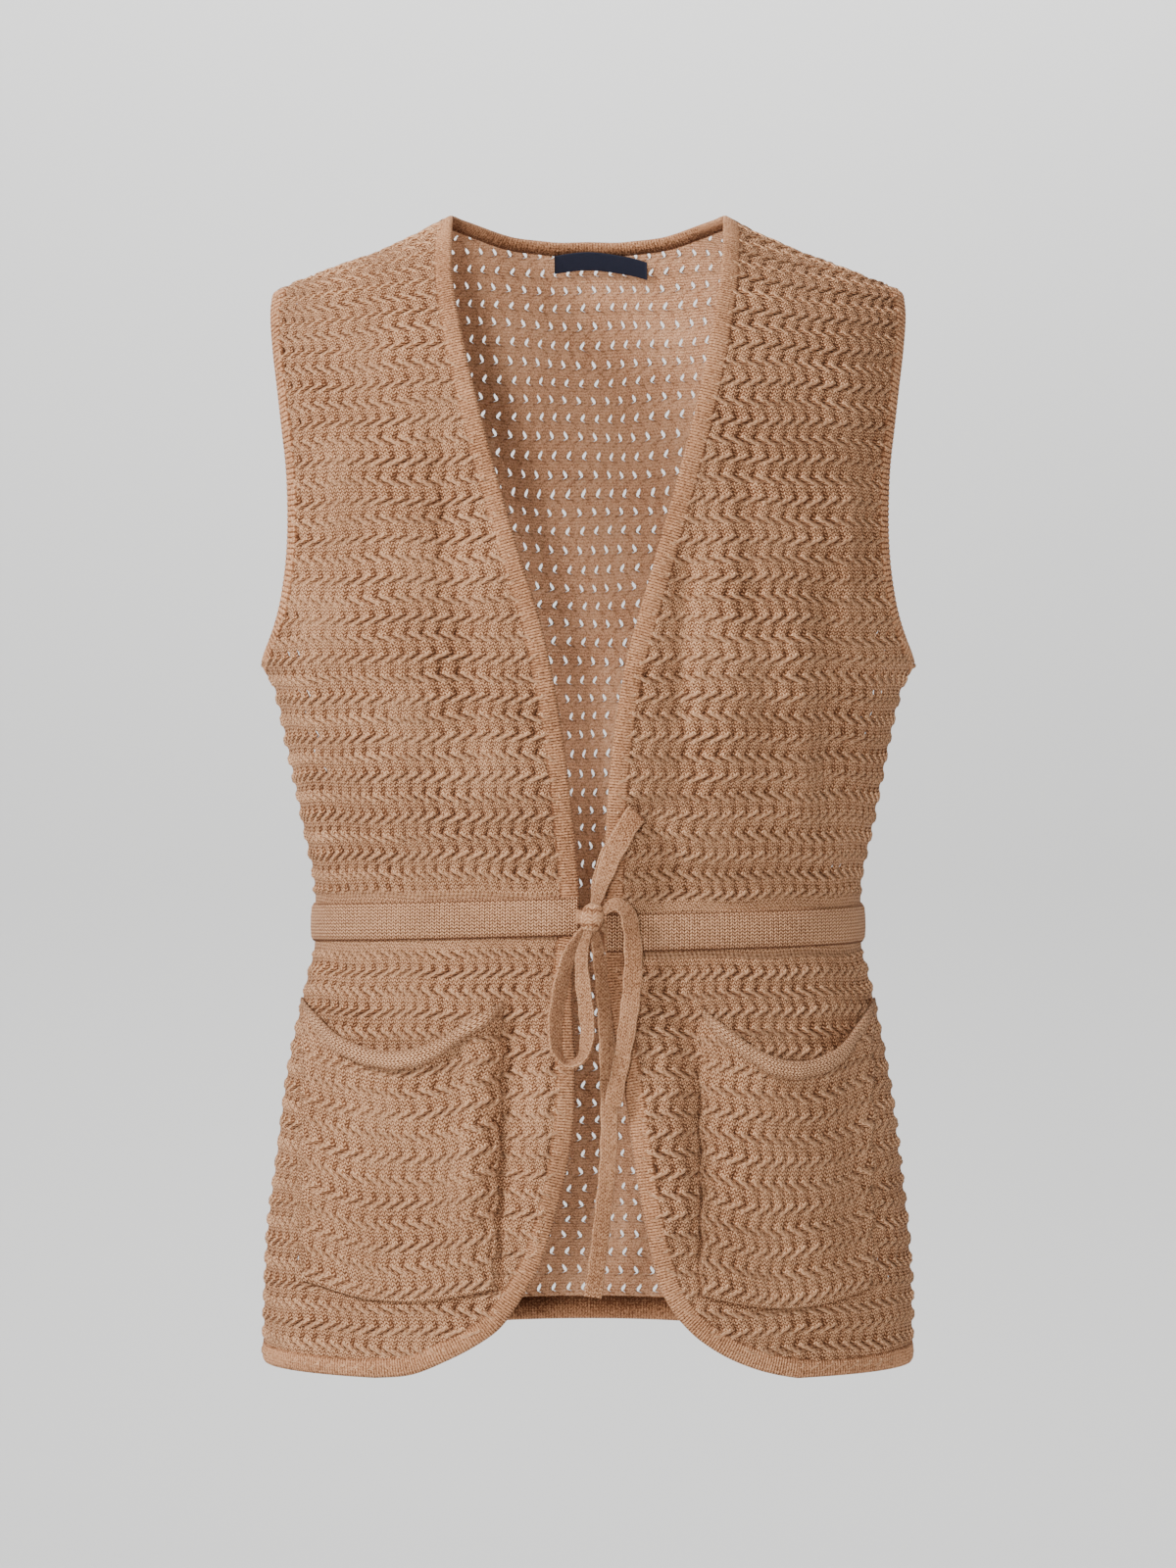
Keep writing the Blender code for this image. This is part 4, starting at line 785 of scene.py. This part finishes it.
def arm_edge(side, part):
    line = SHEETS[part].line(side * ARMHOLE["x"], ARMHOLE["z"])
    line[0, 1], line[-1, 0] = ROLL, side
    return Edge(SHEETS[part], line, side * part * ARM_BAND_WIDTH, ARM_RIB_PITCH, ARM_RIB_STEP)


def neck_edge():
    x, v = (np.concatenate([sign * NECK[key][::-1], NECK[key][1:]]) for key, sign in (("x", -1), ("v", 1)))
    path = curve_through(np.stack([x, 0 * x, v], axis=1), 500)
    v = np.minimum(path[:, 2], ROLL)
    line = np.stack([SHEETS[BACK].u_of(path[:, 0], v), v], axis=1)
    line[0, 1] = line[-1, 1] = ROLL
    return Edge(SHEETS[BACK], line, NECK_BAND_WIDTH)


def hem_edge():
    line = np.stack([np.linspace(1, -1, 400), np.full(400, BOTTOM)], axis=1)
    return Edge(SHEETS[BACK], line, BACK_HEM_WIDTH)


def inside(u, v, outline):
    """Which places lie in a closed outline."""
    found = np.zeros(u.shape, bool)
    for (au, av), (bu, bv) in zip(outline, np.roll(outline, -1, axis=0)):
        if av != bv:
            found ^= ((av > v) != (bv > v)) & (u < au + (v - av) / (bv - av) * (bu - au))
    return found


# ---- the vest ----
def to_uv(side, s, t):
    """u and v of a place in the knit, by its column and row number."""
    s, t = np.broadcast_arrays(s, t)
    u, height = s / (CLOTH_COLUMNS / 2) - 1, BOTTOM + t * ROW_PITCH
    aside = np.abs(u) * SECTIONS["half_width"][-1]
    over = np.clip(height / TOP_HEIGHT, 0, 1)
    height = height - over**2 * ROW_DROP * np.maximum(aside - DROP_FROM, 0)
    if side == BACK:
        height = height + ROW_SAG * np.minimum(aside, DROP_FROM) ** 2 * ease((height - SAG_FROM) / SAG_OVER)
    return u, SHEETS[side].v_of_height(np.clip(u, -1, 1), height)


def beside_pocket(shown, row, x, z):
    """The pattern left out under a pocket, and the cloth drawn in along the pocket's seam, painted darker
    there as painted shadow.
    """
    lies = x * row["side"]
    inner, outer = min(row["inner"]), row["outer"][0]
    sag = POCKET_SAG * np.sin(math.pi * np.clip((lies - inner) / (outer - inner), 0, 1))
    within = np.minimum(np.minimum(lies - inner, outer - lies), z - row["bottom"] + sag) + POCKET_MARGIN
    within = np.minimum(within, row["sag"] - z)
    seam = ease((within - 1.4 * MM) / (1.2 * MM)) * ease((7 * MM - within) / (2 * MM))
    # The seam is fainter near the side seam.
    seam = seam * (1 - 0.7 * ease((lies - outer + 4 * MM) / (2 * MM)))
    return shown * (1 - ease(within / (2 * MM))) - seam


def cloth_on(side, outline):
    """What add_knit asks of a sheet: its place, keep and pattern."""
    sheet = SHEETS[side]

    def place(s, t, out):
        u, v = to_uv(side, s, t)
        return sheet.at(np.clip(u, -1, 1), np.clip(v, BOTTOM, ROLL), out)

    def keep(s, t):
        return inside(*to_uv(side, s, t), outline)

    def pattern(s, t):
        u, v = to_uv(side, s, t)
        off = np.abs(v + TURN_Z - casing_z(u, side)) - CASING_HEIGHT / 2
        shown = ease((off - CASING_STRIP * 0.7) / (3 * MM))
        shown = shown * ease((1 - np.abs(u)) * 0.24 / (4 * MM)) * ease((ROLL - v) / (6 * MM))
        at = sheet.read(sheet.points, np.clip(u, -1, 1), np.clip(v, BOTTOM, ROLL))
        x, z = at[..., 0], at[..., 2]
        for at_x, at_z, half_width, half_height in np.array(SMOOTHED[side]) * MM:
            far = ((x - at_x) / half_width) ** 2 + ((z - at_z) / half_height) ** 2
            shown = shown * (1 - SMOOTHING * np.exp(-far))
        for row in POCKETS.values() if side == FRONT else ():
            shown = beside_pocket(shown, row, x, z)
        return shown

    return place, keep, pattern


def run_on(line, start_u, start_v, end_u, end_v):
    """A line run on past the sheet's borders at its ends."""
    return np.concatenate([[[start_u, start_v]], line, [[end_u, end_v]]])


def add_fronts():
    middle = CLOTH_COLUMNS // 2
    for side, name in SIDES.items():
        edge, arm, arm_behind = front_edge(side), arm_edge(side, FRONT), arm_edge(side, BACK)
        front_cut, arm_cut = edge.cut[TRIM:-TRIM], arm.cut[TRIM:-TRIM]
        past_seam = side * PAST_SEAM
        outline = np.concatenate([
            run_on(front_cut, front_cut[0, 0], PAST_ROLL, past_seam, front_cut[-1, 1]),
            run_on(arm_cut[::-1], past_seam, arm_cut[-1, 1], arm_cut[0, 0], PAST_ROLL),
        ])
        FRONT_PIECES[name] = add_knit(
            f"front_{name}_cloth", (-1, middle + 1) if side < 0 else (middle - 1, CLOTH_COLUMNS + 1),
            (0, TOTAL_ROWS), *cloth_on(FRONT, outline), "knit", f"front_{name}",
            opens=lambda s, t: (np.abs(s / CLOTH_COLUMNS - 0.5) > OPEN_ASIDE) & (t > OPEN_ABOVE),
            eyelet=0.5 * EYELET_HALF,
        )
        add_rings(f"front_band_{name}_rib", "rib", f"front_band_{name}", *edge.rings())
        loop = [np.concatenate([a, b[-2:0:-1]]) for a, b in zip(arm.rings(), arm_behind.rings())]
        add_rings(f"armhole_band_{name}_rib", "rib", f"armhole_band_{name}", *loop, closed=True)


def add_back():
    neck, hem = neck_edge(), hem_edge()
    neck_cut, hem_v = neck.cut[TRIM:-TRIM], float(hem.cut[:, 1].mean())
    arms = {
        side: run_on(cut[TRIM:-TRIM], cut[TRIM, 0], PAST_ROLL, side * PAST_SEAM, cut[-TRIM, 1])
        for side, cut in ((side, arm_edge(side, BACK).cut) for side in SIDES)
    }
    outline = np.concatenate([
        run_on(neck_cut[::-1], neck_cut[-1, 0], PAST_ROLL, neck_cut[0, 0], PAST_ROLL),
        arms[-1], [[-PAST_SEAM, hem_v], [PAST_SEAM, hem_v]], arms[1][::-1],
    ])
    cloth, middle = cloth_on(BACK, outline), CLOTH_COLUMNS // 2
    for name, columns, look, cut in (
        ("right", (-1, middle), "knit", "spare"),
        ("left", (middle, CLOTH_COLUMNS + 1), "knit", "spare"),
        ("inside", (-1, CLOTH_COLUMNS + 1), "purl", "lining"),
    ):
        BACK_PIECES[name] = add_knit(
            f"back_{name}_cloth", columns, (0, TOTAL_ROWS), *cloth, look, "back_panel", cut=cut,
        )
    for name, edge in (("neck_band", neck), ("hem_band", hem)):
        add_rings(f"{name}_rib", "rib", name, *edge.rings())


# ---- the casing ----
def casing_end(side):
    """u and height of the casing's end at a front edge."""
    edge = EDGES[side]
    z = CASING_Z + CASING_RISE[side]
    x = np.interp(-z, -edge["z"], edge["x"]) + side * CASING_SHORT
    return float(SHEETS[FRONT].u_of(x, z - TURN_Z)[0]), z


def add_casing():
    """The ribbed casing round the waist, from one front edge to the other."""
    stops = {side: casing_end(side)[0] for side in SIDES}
    runs = (
        (FRONT, np.linspace(stops[-1], -1, CASING_CUTS[FRONT])),
        (BACK, np.linspace(-1, 1, CASING_CUTS[BACK])[1:-1]),
        (FRONT, np.linspace(1, stops[1], CASING_CUTS[FRONT])),
    )
    along = length_along(np.concatenate([SHEETS[side].at(u, casing_z(u, side) - TURN_Z) for side, u in runs]))
    sides = np.concatenate([np.full(len(u), side) for side, u in runs])
    us = np.concatenate([u for _, u in runs])
    near = np.minimum(along, along[-1] - along)
    over_band = 1 - ease((near - CASING_STEP_AT) / CASING_STEP_LENGTH)
    lift = CASING_OVER_PANEL + (CASING_OVER_BAND - CASING_OVER_PANEL) * over_band
    wave = 0.5 - 0.5 * np.cos(2 * math.pi * along / CASING_RIB_PITCH)
    swell = CASING_SWELL * np.sin(along / 0.0213) * np.sin(along / 0.0471 + 1.0)
    lines = []
    for high, out, weight in CASING_PROFILE:
        points = np.empty((len(us), 3))
        for side in (FRONT, BACK):
            of = sides == side
            v = casing_z(us[of], side) + high * CASING_HEIGHT / 2 - TURN_Z
            rise = lift[of] + out * MM + weight * (CASING_RIB_HEIGHT * (wave[of] - 0.5) + swell[of])
            points[of] = SHEETS[side].at(us[of], v, rise)
        uv = np.stack([along / CASING_RIB_PITCH + 0.5, np.full(len(us), high * 6)], axis=1)
        # Painted shade in the rib valleys, and painted shadow lines along its lower and upper border.
        seam = CASING_SEAM_SHADES[int(high > 0)] * (abs(high) > 0.91)
        lines.append((points, uv, PLAIN_SHADE + 0.14 * (wave - 0.5) * weight - seam))
    add_rings("waist_casing_rib", "jersey", "waist_casing", *stacked(lines))


# ---- the pockets ----
def pocket_lines(row, across):
    """Heights of a pocket's mouth and bottom, across it from the edge near the opening."""
    sag = np.sin(math.pi * across)
    near, far = row["mouth"]
    mouth = near + (far - near) * across + (row["sag"] - (near + far) / 2) * sag
    return mouth, row["bottom"] - POCKET_SAG * sag


def pocket_point(row, across, up):
    """x and z of a place in a pocket, from its bottom (up = 0) to its mouth (up = 1)."""
    mouth, bottom = pocket_lines(row, across)
    inner, outer = (row[key][1] + (row[key][0] - row[key][1]) * up for key in ("inner", "outer"))
    return row["side"] * (inner + (outer - inner) * across), bottom + (mouth - bottom) * up


def add_pocket(name):
    """A patch pocket of cabled cloth, with a jersey top that curls outwards."""
    row, sheet = POCKETS[name], SHEETS[FRONT]

    def across_at(s):
        """How far across the pocket a column number lies, from the edge near the opening."""
        across = np.clip(s / POCKET_COLUMNS, 0, 1)
        return 1 - across if row["side"] < 0 else across

    def reach(across):
        """How many rows of cables fit between the bottom and the mouth."""
        mouth, bottom = pocket_lines(row, across)
        return (mouth - bottom) / (max(row["mouth"]) - row["bottom"]) * POCKET_ROWS

    def below_mouth(s, t):
        return reach(across_at(s)) - t

    def place(s, t, out):
        across = across_at(s)
        up = np.clip(t / reach(across), 0, 1)
        x, z = pocket_point(row, across, up)
        x = x + POCKET_WAVER * np.sin(z / 0.0043 + 9 * across) * np.abs(2 * across - 1) ** 6
        gape = POCKET_GAPE * np.sin(math.pi * across) * up**2.5
        near = np.minimum(np.minimum(across, 1 - across) * POCKET_COLUMNS, up * POCKET_ROWS)
        wall = 1 - ease(np.maximum(np.maximum(-s, s - POCKET_COLUMNS), -t) / 0.3)
        rise = (POCKET_LIFT + POCKET_WALL * 0.6 + POCKET_RIM * np.exp(-near / 0.5)) * wall
        return sheet.seen_at(x, z, rise + gape + out * ease(near / 0.4) - POCKET_TUCK * (1 - wall))

    def keep(s, t):
        return (s > -0.75) & (s < POCKET_COLUMNS + 0.75) & (t > -0.6) & (below_mouth(s, t) > -0.15)

    def pattern(s, t):
        s, t = np.broadcast_arrays(s, t)
        near = np.minimum(np.minimum(s, POCKET_COLUMNS - s), t)
        return ease(near / 0.25 + 0.2) * ease((below_mouth(s, t) - 0.6) / 0.3) - ease(-near / 0.2 - 0.1)

    cloth = add_knit(
        f"{name}_cloth", (-1, POCKET_COLUMNS + 1), (-1, POCKET_ROWS + 1), place, keep, pattern, "knit", name,
        opens=lambda s, t: False, bold=0.82,
    )
    across = np.linspace(0.004, 0.996, 150)
    thin = 0.45 + 0.55 * ease(np.minimum(across, 1 - across) / 0.12)
    thick = POCKET_ROLL * thin * (1 + 0.08 * np.sin(across * 31.0) * np.sin(across * 13.0 + 0.7))
    gape = POCKET_GAPE * np.sin(math.pi * across)
    lines = []
    for wale, (down, out) in enumerate(ROLL_PROFILE):
        x, z = pocket_point(row, across, 1)
        rise = POCKET_LIFT + POCKET_WALL * 0.5 + gape + out * thick
        points = sheet.seen_at(x, z - down * 2.0 * thick, rise)
        turn = wale / len(ROLL_PROFILE) * ROLL_WALES
        uv = np.stack([np.full(len(across), turn), across * ROLL_COURSES], axis=1)
        # Painted shade where the curl turns in towards the cloth, lighter where it stands out.
        lines.append((points, uv, np.full(len(across), 0.36 + 0.16 * out)))
    rings = (part[::-1] if row["side"] < 0 else part for part in stacked(lines))
    add_rings(f"{name}_roll", "jersey", name, *rings)
    return cloth


# ---- the tie ----
def tie_path(name):
    """The tie's middle line: x, y, z, turn and width of each point of a route, with its seats on the knot."""
    x, z, off, turn, width = (np.array(TIE_ROUTES[name]) * (MM, MM, MM, 1, MM)).T
    path = np.stack([x, SHEETS[FRONT].seen_at(x, z)[:, 1] - off, z, turn, width], axis=1)
    seats = []
    for row in (path[0], path[-1]):
        way = unit(row[:3] - KNOT_CENTRE)
        seat = KNOT_CENTRE + way * (1 / np.linalg.norm(way / KNOT_HALF) + SEAM_GAP / 2)
        seats.append([*seat, row[3], TIE_WIDTH_AT_KNOT])
    return np.array([seats[0], *path] + ([seats[1]] if name in TIE_RETURNS else []))


def tie_rings(path):
    """Cross-sections of the flat tie along its middle line, that line, and its length."""
    path = curve_through(path, int(length_along(path[:, :3])[-1] / TIE_STEP))
    centre, turn, width = path[:, :3], np.radians(path[:, 3:4]), path[:, 4:5]
    tangent = unit(np.gradient(centre, axis=0))
    side = unit(np.cross(tangent, np.array([0.0, 1.0, 0.0])))
    for i in range(1, len(side)):
        if (side[i] * side[i - 1]).sum() < 0:
            side[i] = -side[i]
    flat = unit(np.cross(side, tangent))
    across = side * np.cos(turn) + flat * np.sin(turn)
    out = np.cross(tangent, across)
    along = length_along(centre)
    wave = 1 + 0.05 * np.sin(along / 0.0027)[:, None]
    lines = []
    for a, b in TIE_PROFILE:
        ridge = 0.5 + 0.5 * math.cos(2 * math.pi * a * TIE_WALES)
        thick = TIE_THICKNESS / 2 * (b + 0.16 * (ridge - 0.5) * np.sign(b))
        # Painted shade between the wales and towards the tie's edges.
        lines.append((
            centre + across * width * a * wave + out * thick,
            np.stack([np.full(len(along), a * TIE_WALES + 20), along / TIE_STITCH], axis=1),
            np.full(len(along), 0.35 + 0.35 * ridge * abs(b)),
        ))
    return stacked(lines), centre, along[-1]


def add_knot():
    """The knot: the tie's strip wound round itself, in slanting turns."""
    turns = np.linspace(0, 2 * math.pi, KNOT_SIDES + 1)[:-1]
    levels = np.linspace(-1, 1, KNOT_LEVELS)
    rings = []
    for level in levels:
        r = math.sqrt(max(1 - abs(level) ** 2.6, 0.02)) * (1 - 0.05 * abs(math.sin(level * KNOT_WINDS)))
        z = level + KNOT_SLANT * np.cos(turns) * (1 - level**2)
        rings.append(KNOT_CENTRE + np.stack([np.cos(turns) * r, np.sin(turns) * r, z], axis=1) * KNOT_HALF)
    uv = np.stack(np.meshgrid(np.linspace(0, 7, KNOT_SIDES), np.linspace(0, 8, KNOT_LEVELS)), axis=-1)
    # Painted shade along the lines between the slanting turns.
    wind = np.abs(np.sin((levels[:, None] + KNOT_SLANT * np.cos(turns)) * KNOT_WINDS))
    shade = 0.55 - 0.35 * np.exp(-(((wind - 1) / 0.08) ** 2))
    return add_rings("tie_knot_wrap", "tie", "tie_knot", np.array(rings), uv, shade)


def add_root(side):
    """The flat tie where it comes out of the casing and goes behind the knot."""
    name = f"tie_root_{SIDES[side]}"
    u, z = casing_end(side)
    start = SHEETS[FRONT].at(u, z - TURN_Z, CASING_OVER_BAND + ROOT_OVER_BAND) + [side * ROOT_IN_CASING, 0, 0]
    end = KNOT_CENTRE + [side * ROOT_FROM_CENTRE, KNOT_HALF[1] + ROOT_BEHIND_KNOT, 0]
    steps = np.linspace(0, 1, 14)
    flat = np.ones(len(steps))
    middle = start + (end - start) * steps[:, None]
    height = ROOT_HEIGHTS[0] + (ROOT_HEIGHTS[1] - ROOT_HEIGHTS[0]) * steps
    rings = stacked([(
        middle + np.stack([0 * steps, -b * ROOT_THICKNESS / 2 * flat, height * a], axis=1),
        np.stack([(a * TIE_WALES + 20) * flat, steps * 4], axis=1),
        0.5 * flat,
    ) for a, b in TIE_PROFILE])
    return add_rings(f"{name}_strip", "tie", name, *rings)


def add_tie():
    bound = [add_knot(), *(add_root(side) for side in SIDES)]
    for name in TIE_ROUTES:
        path = tie_path(name)
        rings, centre, length = tie_rings(path)
        piece = add_rings(f"{name}_strip", "tie", name, *rings)


# ---- label, room, light and camera ----
def add_label():
    """The woven label, blank, inside the back neck, held by a stitch at each end."""
    sheet = SHEETS[BACK]
    x = LABEL_X + np.linspace(-LABEL_WIDTH / 2, LABEL_WIDTH / 2, 40)
    sag = LABEL_SAG * np.sin(np.linspace(0, math.pi, len(x)))
    top, foot = LABEL_EDGES
    lines = []
    for down, out in LABEL_PROFILE:
        v = np.full(len(x), top + down * (foot - top))
        points = sheet.at(sheet.u_of(x, v), v, -CLOTH - LABEL_LIFT - LABEL_THICKNESS * out - sag)
        lines.append((points, np.zeros((len(x), 2)), np.ones(len(x))))
    add_rings("neck_label_tape", "label", "neck_label", *stacked(lines))


def link(name, data, place=(0, 0, 0)):
    obj = bpy.data.objects.new(name, data)
    obj.location = place
    bpy.context.scene.collection.objects.link(obj)
    return obj


def add_room():
    """A pale floor that curves up into the wall behind."""
    turns = np.linspace(0.1, math.pi / 2, 14)
    line = [(FLOOR_FRONT, FLOOR_Z), (WALL_Y - FLOOR_CURVE, FLOOR_Z)]
    curve = FLOOR_CURVE * (1 - np.stack([np.sin(turns), np.cos(turns)], axis=1))
    line += [(WALL_Y - y, FLOOR_Z + z) for y, z in curve.tolist()]
    line.append((WALL_Y, WALL_TOP))
    mesh = bpy.data.meshes.new("floor")
    mesh.from_pydata(
        [(x, y, z) for y, z in line for x in (-FLOOR_HALF, FLOOR_HALF)], [],
        [(2 * i, 2 * i + 1, 2 * i + 3, 2 * i + 2) for i in range(len(line) - 1)],
    )
    mesh.shade_smooth()
    mesh.materials.append(new_material("floor", FLOOR_COLOUR, 0.95, {"Specular IOR Level": 0.1})[0])
    link("floor", mesh)


def add_lights():
    for name, place, target, size, power in LIGHTS:
        data = bpy.data.lights.new(name, "AREA")
        data.shape = "RECTANGLE"
        data.size, data.size_y = size
        data.energy = power
        turn = (Vector(target) - Vector(place)).to_track_quat("-Z", "Y").to_euler()
        link(name, data, place).rotation_euler = turn
    world = bpy.data.worlds.new("room")
    world.use_nodes = True
    background = world.node_tree.nodes["Background"]
    background.inputs["Color"].default_value = (1.0, 1.0, 1.0, 1)
    background.inputs["Strength"].default_value = AMBIENT
    bpy.context.scene.world = world


def add_camera():
    data = bpy.data.cameras.new("camera")
    data.sensor_fit = "VERTICAL"
    data.sensor_height = 36.0
    data.lens = CAMERA_LENS
    data.clip_end = 30.0
    camera = link("camera", data, CAMERA_PLACE)
    camera.rotation_euler = (math.pi / 2, 0, 0)
    bpy.context.scene.camera = camera


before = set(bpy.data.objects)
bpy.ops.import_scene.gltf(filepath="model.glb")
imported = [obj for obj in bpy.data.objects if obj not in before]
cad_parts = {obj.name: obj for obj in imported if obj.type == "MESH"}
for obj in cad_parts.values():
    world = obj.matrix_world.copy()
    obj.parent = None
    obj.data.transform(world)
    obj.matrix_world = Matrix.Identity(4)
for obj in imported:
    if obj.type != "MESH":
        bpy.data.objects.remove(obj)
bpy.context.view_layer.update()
SHEETS = {side: Sheet(side) for side in (FRONT, BACK)}
LOOKS = {name: yarn_material(name, *row) for name, row in YARNS.items()}
LOOKS["label"] = label_material()
FRONT_PIECES, BACK_PIECES = {}, {}
add_camera()
add_tie()
add_fronts()
add_back()
add_casing()
POCKET_CLOTHS = [add_pocket(name) for name in POCKETS]
add_label()
add_room()
add_lights()
